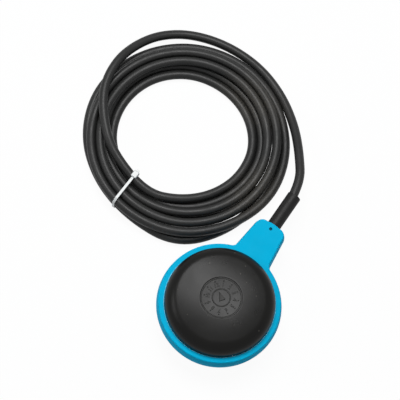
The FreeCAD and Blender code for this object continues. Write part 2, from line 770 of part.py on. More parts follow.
def make_switch():
    """Two-part switch case with ears for the lever's pin and a bore for the plunger."""
    face = "( -1 * switch_face )"
    split = "( -1 * " + AXIS_DROP + " + switch_rise / 2 - switch_cover_rise )"
    bottom = "( -1 * " + AXIS_DROP + " - switch_rise / 2 )"
    for node, low, rise in (("switch_base", bottom, "switch_rise - switch_cover_rise"),
                            ("switch_cover", split, "switch_cover_rise")):
        body = new_body(node)
        plan = new_sketch(body, node + "_plan", "XY_Plane", low)
        draw_box(plan, (face, "-1 * switch_half_width"), (SWITCH_BACK, "switch_half_width"))
        pad(body, plan, rise)
        round_edges(body, node + "_corners", "switch_rounding", upright)
        ear_low = low if node == "switch_base" else low + " + " + rise + " - ear_thick"
        ear = new_sketch(body, node + "_ear", "XY_Plane", ear_low)
        draw_box(ear, (face + " - ear_reach", "-1 * " + HINGE_ACROSS + " - ear_width / 2"),
                 (face + " + switch_rounding", "-1 * " + HINGE_ACROSS + " + ear_width / 2"))
        pad(body, ear, "ear_thick")
        holes = new_sketch(body, node + "_holes", "XY_Plane", low + " + " + rise)
        for along, across in switch_screw_places():
            draw_circle(holes, "switch_screw_radius + screw_gap", along, across)
        draw_circle(holes, "hinge_pin_radius", face + " - hinge_reach", "-1 * " + HINGE_ACROSS)
        pocket(body, holes, rise)
        if node == "switch_base":
            bore = new_sketch(body, node + "_bore", "YZ_Plane", face)
            draw_circle(bore, "plunger_radius + plunger_bore_gap", "-1 * plunger_place",
                        "-1 * " + AXIS_DROP)
            pocket(body, bore, "plunger_length + plunger_travel", reverse=True)


def make_lever_parts():
    """Pin, curled lever and plunger, drawn with the lever pressed and then swung out to rest."""
    hinge_along = "( -1 * switch_face - hinge_reach )"
    bottom = "( -1 * " + AXIS_DROP + " - switch_rise / 2 )"
    pin = rod("LeverPin", "hinge_pin_radius", "switch_rise", (hinge_along, "-1 * " + HINGE_ACROSS, bottom))
    keep("lever_pin", pin)

    body = doc.addObject("PartDesign::Body", "switch_lever")
    keep("switch_lever", body)
    low = "-1 * lever_width / 2"
    strip = new_sketch(body, "LeverStrip", "XY_Plane", low)
    draw_box(strip, ("-1 * lever_curl_radius", "0"), ("-1 * lever_curl_radius + lever_thick", "lever_length"))
    pad(body, strip, "lever_width")
    curl = new_sketch(body, "LeverCurl", "XY_Plane", low)
    draw_circle(curl, "lever_curl_radius")
    pad(body, curl, "lever_width")
    eye = new_sketch(body, "LeverEye", "XY_Plane", "lever_width / 2")
    draw_circle(eye, "hinge_pin_radius + hinge_gap")
    pocket(body, eye, "lever_width")
    body.Placement = FreeCAD.Placement(Vector(), FreeCAD.Rotation(Z_AXIS, size("lever_swing")))
    bind(body, Placement__Rotation__Angle="lever_swing")
    place(body, hinge_along, "-1 * " + HINGE_ACROSS, "-1 * " + AXIS_DROP)

    pressed_tip = "( " + hinge_along + " - lever_curl_radius + lever_thick + plunger_gap )"
    plunger = rod("Plunger", "plunger_radius", "plunger_length",
                  (pressed_tip + " - plunger_travel", "-1 * plunger_place", "-1 * " + AXIS_DROP), "X")
    domed = doc.addObject("Part::Fillet", "PlungerTip")
    domed.Base = plunger
    doc.recompute()
    front = min(range(len(plunger.Shape.Edges)), key=lambda at: plunger.Shape.Edges[at].BoundBox.XMin
                + plunger.Shape.Edges[at].BoundBox.XLength)
    tip_radius = size("plunger_radius") * 0.6
    domed.Edges = [(front + 1, tip_radius, tip_radius)]
    keep("switch_plunger", domed)


def make_terminals():
    names = ("terminal_common", "terminal_closed", "terminal_open")
    connectors = []
    for node, count in zip(names, (1, 0, -1)):
        middle = "( %d * blade_pitch )" % count
        blade = box(node + "_blade", ("blade_length", "blade_width", "blade_thick"),
                    (SWITCH_BACK, middle + " - blade_width / 2",
                     "-1 * " + AXIS_DROP + " - blade_thick / 2"))
        eye = rod(node + "_eye", "blade_width / 5", "3 * blade_thick",
                  (SWITCH_BACK + " + connector_set_back / 2", middle,
                   "-1 * " + AXIS_DROP + " - 1.5 * blade_thick"))
        keep(node, cut(node, blade, eye))
        start = "( " + SWITCH_BACK + " + connector_set_back )"
        sleeve = box("%s_sleeve" % node, ("connector_length", "connector_width", "connector_rise"),
                     (start, middle + " - connector_width / 2",
                      "-1 * " + AXIS_DROP + " - connector_rise / 2"))
        slot = box("%s_slot" % node,
                   ("blade_length - connector_set_back + 2 * screw_gap", "blade_width + 2 * screw_gap",
                    "blade_thick + 2 * screw_gap"),
                   (start, middle + " - blade_width / 2 - screw_gap",
                    "-1 * " + AXIS_DROP + " - blade_thick / 2 - screw_gap"))
        connectors.append(cut("%s_connector" % node, sleeve, slot))
    group = doc.addObject("Part::Compound", "push_on_connectors")
    group.Links = connectors
    keep("push_on_connectors", group)


# Cores, cable, coil and tie


def tangent_route(points):
    """Straight runs joined by tangent arcs, each arc as large as its two runs allow."""
    edges, radii = [], []
    start = points[0]
    for before, corner, after in zip(points, points[1:], points[2:]):
        inward, outward = corner - before, after - corner
        trim = CORNER_SHARE * min(inward.Length, outward.Length)
        half_turn = inward.getAngle(outward) / 2
        radius = trim / math.tan(half_turn)
        inward.normalize()
        outward.normalize()
        first, last = corner - inward * trim, corner + outward * trim
        bisector = (outward - inward).normalize()
        centre = corner + bisector * (radius / math.cos(half_turn))
        middle = centre - bisector * radius
        edges.append(Part.LineSegment(start, first).toShape())
        edges.append(Part.Arc(first, middle, last).toShape())
        radii.append(radius)
        start = last
    edges.append(Part.LineSegment(start, points[-1]).toShape())
    return Part.Wire(edges), radii


def round_tube(points, radius):
    """Tube swept along a route, with its volume held against section times length."""
    route, radii = tangent_route(points)
    heading = points[1] - points[0]
    section = Part.Wire(Part.Circle(points[0], heading, radius).toShape())
    tube = route.makePipeShell([section], True, False)
    expected = math.pi * radius ** 2 * route.Length
    if not tube.isValid() or abs(tube.Volume / expected - 1) > 0.01:
        raise ValueError("the tube's volume doesn't follow its section and length")
    print("tube length %.1f, bend radii" % route.Length, " ".join("%.1f" % bend for bend in radii))
    return tube


def keep_shape(node, shape, placement=FreeCAD.Placement()):
    made = doc.addObject("Part::Feature", node)
    made.Shape = shape
    made.Placement = placement
    return keep(node, made)


def make_cores():
    """Three insulated wires from the sheath's end to the connectors."""
    middle = size(MIDDLE)
    sheath = size(CAPSULE_FRONT + " + 0.5")
    clip = size(SWITCH_BACK + " + connector_set_back + connector_length")
    drop = middle - size(AXIS_DROP)
    wall = size(CAPSULE_FRONT + " - capsule_wall")
    offset = size("core_offset")
    for node, bearing, count in (("core_brown", -30, 1), ("core_blue", 90, 0), ("core_black", 210, -1)):
        across = offset * math.cos(math.radians(bearing))
        rise = middle + offset * math.sin(math.radians(bearing))
        target = count * size("blade_pitch")
        points = [
            Vector(sheath, across, rise),
            Vector(wall - 1.2, across, rise),
            Vector(clip + 2.8, target, drop),
            Vector(clip, target, drop),
        ]
        keep_shape(node, round_tube(points, size("core_radius")))


def make_cable():
    start = Vector(size("sleeve_mouth - sleeve_overlap"), 0, size(MIDDLE))
    points = [start] + [Vector(*corner) for corner in CABLE_ROUTE[1:]]
    keep_shape("cable", round_tube(points, size("cable_radius")))


def coil_disc(radii, centre, rise):
    """Upright disc whose edge is a smooth curve through the radii at even bearings."""
    points = []
    for count, radius in enumerate(radii):
        bearing = 2 * math.pi * count / len(radii)
        points.append(centre + Vector(radius * math.cos(bearing), radius * math.sin(bearing), 0))
    curve = Part.BSplineCurve()
    curve.interpolate(Points=points, PeriodicFlag=True)
    return Part.Face(Part.Wire(curve.toShape())).extrude(Vector(0, 0, rise))


def rounded_bar(low, high, length, rounding):
    """Bar along the local Y axis with rounded long edges, centred on Y."""
    bar = Part.makeBox(high[0] - low[0], length, high[1] - low[1], Vector(low[0], -length / 2, low[1]))
    edges = [edge for edge in bar.Edges if edge.BoundBox.YLength > length - 0.01]
    return bar.makeFillet(rounding, edges)


def make_coil_and_tie():
    """Closed ring of the coil's outline with a waist where the tie grips it, and the tie."""
    centre = Vector(size("coil_place_along"), size("coil_place_across"), 0)
    opening = coil_disc(COIL_INNER, centre, size("coil_rise"))
    ring = coil_disc(COIL_OUTER, centre, size("coil_rise")).cut(opening)
    rims = [edge for edge in ring.Edges if edge.BoundBox.ZLength < 0.01]
    ring = ring.makeFillet(size("coil_rounding"), rims)

    rise, thick, gap = size("coil_rise"), size("tie_thick"), size("tie_gap")
    near = size("tie_inner_radius")
    far = near + size("tie_bundle_width")
    grip = thick + 2 * gap
    rounding = size("coil_rounding")
    slot_width = size("tie_width + 2 * tie_gap")
    around = Part.makeBox(far - near + 40, slot_width, rise + 40, Vector(near - 20, -slot_width / 2, -20))
    waist = rounded_bar((near, grip), (far, rise - grip), slot_width + 2, rounding)
    turn = FreeCAD.Placement(centre, FreeCAD.Rotation(Z_AXIS, size("tie_bearing")))
    groove = around.cut(waist)
    groove.Placement = turn
    keep_shape("cable_coil", ring.cut(groove))

    width = size("tie_width")
    skin = gap + thick
    strap = rounded_bar((near - skin, grip - skin), (far + skin, rise - grip + skin), width, rounding + skin)
    hollow = rounded_bar((near - gap, grip - gap), (far + gap, rise - grip + gap), width + 2, rounding + gap)
    strap = strap.cut(hollow)
    head_length, head_width = size("tie_head_length"), size("tie_head_width")
    head_rise = size("tie_head_rise")
    head_low = rise / 2 - head_length / 2
    head = Part.makeBox(head_rise, head_width, head_length,
                        Vector(near - gap - head_rise, -head_width / 2, head_low))
    head = head.makeFillet(0.6, head.Edges)
    tail = Part.makeBox(thick, width, head_length + size("tie_tail"),
                        Vector(near - gap - head_rise / 2 - thick, -width / 2, head_low))
    tie = strap.fuse([head, tail]).removeSplitter()
    keep_shape("cable_tie", tie, turn)


make_housing()
make_dome("upper_dome", False)
make_dome("lower_dome", True)
make_sleeve()
make_cable_end()
make_gland()
make_capsule_case()
make_lid("capsule_gasket", CASE_RIM, "gasket_thick", "2 * screw_gap", True)
make_lid("capsule_lid", "( " + CASE_RIM + " + gasket_thick )", "lid_thick", "2 * screw_gap", False)
make_screws("lid_screws", boss_places(), "capsule_half_rise", "screw_radius", "screw_length",
            "head_radius", "head_rise")
make_screws("switch_screws", switch_screw_places(), "( -1 * " + AXIS_DROP + " + switch_rise / 2 )",
            "switch_screw_radius", "( switch_rise + 2.5 )", "head_radius", "head_rise")
make_ball_track()
make_ball()
make_switch()
make_lever_parts()
make_terminals()
make_cores()
make_cable()
make_coil_and_tie()
doc.recompute()

for thing in doc.Objects:
    if "Invalid" in thing.State or "Error" in thing.State:
        raise RuntimeError("%s failed: %s" % (thing.Name, thing.State))
for node, thing in NODES.items():
    if thing.Shape.isNull() or not thing.Shape.isValid():
        raise RuntimeError("%s has no valid shape" % node)

os.makedirs("parts", exist_ok=True)
for node, thing in NODES.items():
    thing.Shape.exportStep("parts/%s.step" % node)
    print("%-20s %2d solids %10.1f mm3" % (node, len(thing.Shape.Solids), thing.Shape.Volume))
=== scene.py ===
import math

import bmesh
import bpy
from bpy.props import FloatProperty, FloatVectorProperty, PointerProperty
from mathutils import Matrix, Vector


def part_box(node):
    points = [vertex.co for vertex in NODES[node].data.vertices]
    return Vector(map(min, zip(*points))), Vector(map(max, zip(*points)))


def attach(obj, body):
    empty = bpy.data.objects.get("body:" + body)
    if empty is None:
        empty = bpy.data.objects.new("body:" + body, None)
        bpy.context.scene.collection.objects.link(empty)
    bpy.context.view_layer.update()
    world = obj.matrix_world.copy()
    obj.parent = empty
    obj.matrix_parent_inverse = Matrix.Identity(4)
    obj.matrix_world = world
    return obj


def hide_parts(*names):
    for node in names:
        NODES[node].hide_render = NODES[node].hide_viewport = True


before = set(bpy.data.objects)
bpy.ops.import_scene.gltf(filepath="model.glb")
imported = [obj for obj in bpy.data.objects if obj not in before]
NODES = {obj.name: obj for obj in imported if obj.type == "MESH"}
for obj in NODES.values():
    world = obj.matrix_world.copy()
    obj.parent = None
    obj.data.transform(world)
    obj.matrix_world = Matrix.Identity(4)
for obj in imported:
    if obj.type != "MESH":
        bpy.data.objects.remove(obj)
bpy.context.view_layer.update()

bl_info = {
    "name": "Cable Float Switch",
    "version": (1, 0, 0),
    "blender": (4, 5, 0),
    "location": "View3D > Sidebar > Float Switch",
    "description": "Dresses the packed float switch with its cable, tie, domes and finishes",
    "category": "Object",
}

MM = 0.001
MERGE_DISTANCE = 0.001 * MM
LATHE_STEPS = 180
FLOAT_BODY = "float"

# Corners of the lead's route in millimetres, from inside the sleeve to where it joins the coil.
LEAD = (
    (100.0, 0.0, 25.0),
    (126.5, 0.8, 25.0),
    (152.6, 17.6, 18.5),
    (175.9, 36.6, 10.0),
    (195.6, 62.1, 5.0),
    (207.0, 92.4, 4.3),
    (208.0, 127.1, 4.4),
    (198.6, 159.1, 4.9),
    (180.7, 180.9, 8.0),
    (157.4, 192.0, 14.0),
    (131.5, 195.5, 20.5),
    (103.7, 189.7, 21.5),
    (78.6, 170.8, 21.5),
    (61.5, 149.5, 17.5),
)

# The coil's turns, one to a row: distances from the coil's centre and heights in millimetres, at
# bearings that go round in even steps. The last row is the stretch to the free end.
COIL_CENTRE = (110.0, 107.0)
FIRST_BEARING = 180.0
BEARING_STEP = 30.0
TURN_RADII = (
    (58.8, 54.0, 53.4, 55.7, 58.9, 59.8, 60.8, 63.2, 64.6, 64.3, 63.3, 60.6),
    (60.4, 60.1, 60.4, 63.4, 66.6, 67.8, 68.8, 71.2, 72.5, 72.1, 70.2, 67.2),
    (66.7, 66.8, 68.0, 69.8, 71.3, 72.2, 72.8, 73.1, 73.1, 73.0, 73.4, 73.8),
    (74.5, 76.3, 77.1, 78.0, 79.3, 80.4, 81.0, 81.3, 81.4, 81.3, 81.3, 81.6),
    (82.4, 84.8, 85.3, 87.7, 87.5, 87.4, 88.8, 89.4, 89.3, 88.7, 85.0, 81.0),
    (81.6, 90.6, 85.4, 81.4, 80.2, 79.0, 78.6, 79.7, 80.7, 80.1, 77.3, 73.6),
    (72.4, 71.7, 71.8, 72.6),
)
TURN_HEIGHTS = (
    (11.3, 9.5, 7.6, 6.1, 4.9, 4.1, 4.0, 4.0, 4.0, 4.0, 4.1, 4.8),
    (4.8, 4.1, 4.0, 4.0, 4.0, 4.0, 4.0, 4.0, 4.0, 4.5, 6.6, 9.0),
    (10.1, 10.6, 11.1, 11.4, 11.0, 11.2, 11.6, 11.9, 12.1, 12.6, 13.6, 13.6),
    (12.6, 11.6, 11.3, 11.7, 12.0, 11.8, 11.8, 12.0, 12.1, 12.0, 11.9, 12.4),
    (12.4, 11.8, 11.4, 8.7, 6.3, 4.8, 4.1, 4.0, 4.0, 4.0, 4.1, 4.8),
    (4.8, 4.1, 4.0, 4.0, 4.0, 4.0, 4.0, 4.0, 4.0, 4.0, 4.1, 4.8),
    (4.8, 4.1, 4.0, 4.0),
)

WIRE_COLORS = {
    "brown": (0.12, 0.05, 0.02),
    "blue": (0.02, 0.10, 0.42),
    "black": (0.02, 0.02, 0.02),
}


class CordSettings(bpy.types.PropertyGroup):
    diameter: FloatProperty(
        name="Diameter", description="Width of the cable", default=8.0 * MM, unit="LENGTH"
    )
    length: FloatProperty(
        name="Length", description="Length of the whole cable in view", default=3.3, unit="LENGTH"
    )
    core_length: FloatProperty(
        name="Core length", description="How far the cores stand out of the free end",
        default=7.0 * MM, unit="LENGTH",
    )


class TieSettings(bpy.types.PropertyGroup):
    bearing: FloatProperty(
        name="Bearing", description="Where the tie sits around the coil",
        default=math.radians(167.0), subtype="ANGLE",
    )
    slant: FloatProperty(
        name="Slant", description="Turn of the tie away from straight across the coil",
        default=math.radians(11.0), subtype="ANGLE",
    )
    width: FloatProperty(
        name="Strap width", description="Width of the strap", default=2.2 * MM, unit="LENGTH"
    )
    thickness: FloatProperty(
        name="Strap thickness", description="Thickness of the strap",
        default=0.9 * MM, unit="LENGTH",
    )


class DomeSettings(bpy.types.PropertyGroup):
    badge_radius: FloatProperty(
        name="Badge radius", description="Radius of the flat disc on each dome",
        default=17.25 * MM, unit="LENGTH",
    )
    crown_radius: FloatProperty(
        name="Crown radius", description="Radius of the dome's wide crown",
        default=200.0 * MM, unit="LENGTH",
    )
    shoulder_radius: FloatProperty(
        name="Shoulder radius", description="Radius of the dome's shoulder",
        default=12.0 * MM, unit="LENGTH",
    )
    badge_depth: FloatProperty(
        name="Badge depth", description="How far the badge's floor lies under its edge",
        default=0.4 * MM, unit="LENGTH",
    )


class FinishSettings(bpy.types.PropertyGroup):
    housing: FloatVectorProperty(
        name="Housing", description="Colour of the ring and neck",
        default=(0.0, 0.405, 0.665), size=3, subtype="COLOR",
    )
    dome: FloatVectorProperty(
        name="Domes", description="Colour of the domes",
        default=(0.0036, 0.0035, 0.0031), size=3, subtype="COLOR",
    )
    cable: FloatVectorProperty(
        name="Cable", description="Colour of the cable's sheath",
        default=(0.0120, 0.0122, 0.0120), size=3, subtype="COLOR",
    )
    tie: FloatVectorProperty(
        name="Tie", description="Colour of the tie",
        default=(0.56, 0.58, 0.58), size=3, subtype="COLOR",
    )


class StageSettings(bpy.types.PropertyGroup):
    elevation: FloatProperty(
        name="Elevation", description="How steeply the camera looks down",
        default=math.radians(71.0), subtype="ANGLE",
    )
    bearing: FloatProperty(
        name="Bearing", description="Bearing that the camera looks along",
        default=math.radians(23.5), subtype="ANGLE",
    )
    roll: FloatProperty(
        name="Roll", description="Turn of the camera about its own line of sight",
        default=math.radians(11.0), subtype="ANGLE",
    )
    distance: FloatProperty(
        name="Distance", description="From the camera to the float's middle",
        default=1.1, unit="LENGTH",
    )
    key_power: FloatProperty(
        name="Soft box", description="Power of the large soft lamp", default=26.5, unit="POWER"
    )


SETTINGS = {
    "switch_cord": CordSettings,
    "switch_tie": TieSettings,
    "switch_domes": DomeSettings,
    "switch_finish": FinishSettings,
    "switch_stage": StageSettings,
}


# Pieces and their places


def add_piece(name, mesh, body=FLOAT_BODY):
    """New object at the origin that rides on a body."""
    piece = bpy.data.objects.new(name, mesh)
    bpy.context.scene.collection.objects.link(piece)
    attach(piece, body)
    return piece


def finish_mesh(name, bm, smooth=True):
    """Turn a bmesh into a mesh with its doubles merged and its faces outwards."""
    bmesh.ops.remove_doubles(bm, verts=bm.verts, dist=MERGE_DISTANCE)
    bmesh.ops.recalc_face_normals(bm, faces=bm.faces)
    mesh = bpy.data.meshes.new(name)
    bm.to_mesh(mesh)
    bm.free()
    for face in mesh.polygons:
        face.use_smooth = smooth
    return mesh


def take_over(bm, part):
    """Add a part's faces to a bmesh, and free the part."""
    mesh = bpy.data.meshes.new("part")
    part.to_mesh(mesh)
    part.free()
    bm.from_mesh(mesh)
    bpy.data.meshes.remove(mesh)


def lathed(profile, steps, closed=False):
    """Spin a profile of (radius, height) points in metres about the float's upright axis."""
    bm = bmesh.new()
    chain = [bm.verts.new((radius, 0, height)) for radius, height in profile]
    edges = [bm.edges.new(pair) for pair in zip(chain, chain[1:])]
    if closed:
        edges.append(bm.edges.new((chain[-1], chain[0])))
    bmesh.ops.spin(
        bm, geom=chain + edges, axis=(0, 0, 1), cent=(0, 0, 0), dvec=(0, 0, 0),
        angle=math.tau, steps=steps, use_merge=True, use_normal_flip=False, use_duplicate=False,
    )
    return bm


def arc_points(centre, radius, start, end, steps):
    """Points of an arc in the profile plane, both ends included."""
    points = []
    for step in range(steps + 1):
        turn = math.radians(start + (end - start) * step / steps)
        points.append((centre[0] + radius * math.cos(turn), centre[1] + radius * math.sin(turn)))
    return points


def bevel_edges(bm, edges, width, segments):
    """Round edges off."""
    bmesh.ops.bevel(
        bm, geom=edges, offset=width, offset_type="OFFSET", segments=segments, profile=0.5,
        affect="EDGES", material=-1, clamp_overlap=True,
    )


def set_sharp_by_angle(piece, degrees=35.0):
    """Keep edges that turn more than an angle crisp under smooth shading."""
    bm = bmesh.new()
    bm.from_mesh(piece.data)
    for edge in bm.edges:
        if edge.is_manifold and edge.calc_face_angle(0.0) > math.radians(degrees):
            edge.smooth = False
    bm.to_mesh(piece.data)
    bm.free()


# Finishes

# Sockets of a colour mix, whose names stand for several kinds of value.
MIX_FACTOR, MIX_FIRST, MIX_SECOND, MIX_RESULT = 0, 6, 7, 2


class Finish:
    """Material with one Principled shader, read in Object coordinates."""

    def __init__(self, name, color, roughness, **sockets):
        self.material = bpy.data.materials.new(name)
        self.material.use_nodes = True
        self.nodes = self.material.node_tree.nodes
        self.links = self.material.node_tree.links
        self.shader = self.nodes["Principled BSDF"]
        self.color = tuple(color)
        self.shader.inputs["Base Color"].default_value = (*self.color, 1.0)
        self.shader.inputs["Roughness"].default_value = roughness
        for socket, value in sockets.items():
            self.shader.inputs[socket.replace("_", " ")].default_value = value
        self.place = self.nodes.new("ShaderNodeTexCoord").outputs["Object"]
        self.bump_end = None

    def noise(self, scale, detail, roughness=0.5, stretch=None):
        """Cloudy pattern, which a stretch can draw out along an axis."""
        place = self.place
        if stretch is not None:
            mapping = self.nodes.new("ShaderNodeMapping")
            mapping.inputs["Scale"].default_value = stretch
            self.links.new(place, mapping.inputs["Vector"])
            place = mapping.outputs["Vector"]
        node = self.nodes.new("ShaderNodeTexNoise")
        node.inputs["Scale"].default_value = scale
        node.inputs["Detail"].default_value = detail
        node.inputs["Roughness"].default_value = roughness
        self.links.new(place, node.inputs["Vector"])
        return node.outputs["Fac"]

    def cells(self, scale):
        """Distance to the nearest of many scattered points."""
        node = self.nodes.new("ShaderNodeTexVoronoi")
        node.inputs["Scale"].default_value = scale
        self.links.new(self.place, node.inputs["Vector"])
        return node.outputs["Distance"]

    def span(self, value, low, high, start, end):
        """Map a value's range to another one, held at its ends."""
        node = self.nodes.new("ShaderNodeMapRange")
        node.inputs["From Min"].default_value = low
        node.inputs["From Max"].default_value = high
        node.inputs["To Min"].default_value = start
        node.inputs["To Max"].default_value = end
        self.links.new(value, node.inputs["Value"])
        return node.outputs["Result"]

    def near(self, centre, reach, stretch):
        """One at a point of the object, falling to nought at a distance."""
        mapping = self.nodes.new("ShaderNodeMapping")
        mapping.vector_type = "TEXTURE"
        mapping.inputs["Location"].default_value = centre
        mapping.inputs["Scale"].default_value = stretch
        self.links.new(self.place, mapping.inputs["Vector"])
        length = self.nodes.new("ShaderNodeVectorMath")
        length.operation = "LENGTH"
        self.links.new(mapping.outputs["Vector"], length.inputs[0])
        return self.span(length.outputs["Value"], 0.3 * reach, reach, 1.0, 0.0)

    def times(self, first, second):
        """Product of two values, each a socket or a number."""
        node = self.nodes.new("ShaderNodeMath")
        node.operation = "MULTIPLY"
        for socket, value in zip(node.inputs, (first, second)):
            if isinstance(value, (int, float)):
                socket.default_value = value
            else:
                self.links.new(value, socket)
        return node.outputs["Value"]

    def tint(self, amount, color):
        """Mix another colour into the base colour by a value."""
        mix = self.nodes.new("ShaderNodeMix")
        mix.data_type = "RGBA"
        base = self.shader.inputs["Base Color"]
        if base.is_linked:
            self.links.new(base.links[0].from_socket, mix.inputs[MIX_FIRST])
        else:
            mix.inputs[MIX_FIRST].default_value = base.default_value
        mix.inputs[MIX_SECOND].default_value = (*color, 1.0)
        self.links.new(amount, mix.inputs[MIX_FACTOR])
        self.links.new(mix.outputs[MIX_RESULT], base)

    def vary_roughness(self, value, low, high):
        """Let a noise move the roughness between two values."""
        self.links.new(self.span(value, 0.3, 0.7, low, high), self.shader.inputs["Roughness"])

    def bump(self, height, distance, strength):
        """Add a relief on top of those that the finish has."""
        node = self.nodes.new("ShaderNodeBump")
        node.inputs["Distance"].default_value = distance
        node.inputs["Strength"].default_value = strength
        self.links.new(height, node.inputs["Height"])
        if self.bump_end is not None:
            self.links.new(self.bump_end, node.inputs["Normal"])
        self.bump_end = node.outputs["Normal"]
        self.links.new(self.bump_end, self.shader.inputs["Normal"])

    def put_on(self, *pieces):
        for piece in pieces:
            piece.data.materials.clear()
            piece.data.materials.append(self.material)


def scaled(color, factor):
    """Lighter or darker form of a colour."""
    return tuple(min(1.0, channel * factor) for channel in color)


def moulded(name, color, roughness, grain=0.00002, **sockets):
    """Moulded plastic with a fine grain, a slight flow mottle and uneven sheen."""
    made = Finish(name, color, roughness, **sockets)
    mottle = made.noise(55.0, 3.0)
    made.tint(made.span(mottle, 0.42, 0.75, 0.0, 0.35), scaled(color, 0.86))
    made.vary_roughness(made.noise(140.0, 4.0), roughness - 0.05, roughness + 0.06)
    made.bump(made.noise(2600.0, 2.0), grain, 0.6)
    return made


def metal(name, color, roughness, stretch=(1.0, 30.0, 1.0)):
    """Metal with fine brush marks along an axis and duller patches."""
    made = Finish(name, color, roughness, Metallic=1.0)
    brushed = made.noise(700.0, 3.0, stretch=stretch)
    made.vary_roughness(brushed, roughness - 0.06, roughness + 0.1)
    made.bump(brushed, 0.000012, 0.5)
    made.tint(made.span(made.noise(260.0, 4.0), 0.5, 0.8, 0.0, 0.4), scaled(color, 0.6))
    return made


# Operators

FLOOR_HALF_WIDTH = 3.0
FLOOR_PLACE = (0.08, 0.08, -0.0002)
FLOOR_GLOW = 0.95

# The square picture: its width, the size of a pixel at the float, the place of the float's middle
# right of and above the picture's centre, and the camera's sensor in millimetres.
PICTURE_PIXELS = 400.0
PIXEL = 0.82 * MM
MIDDLE_RIGHT, MIDDLE_UP = 19.0, -105.1
FLOAT_MIDDLE = Vector((0.0, 0.0, 25.0 * MM))
SENSOR_WIDTH = 36.0

LAMP_TARGET = Vector((0.03, 0.03, 0.03))
LAMP_DISTANCE = 1.6
SIDE_LAMP_SHARE = 0.15


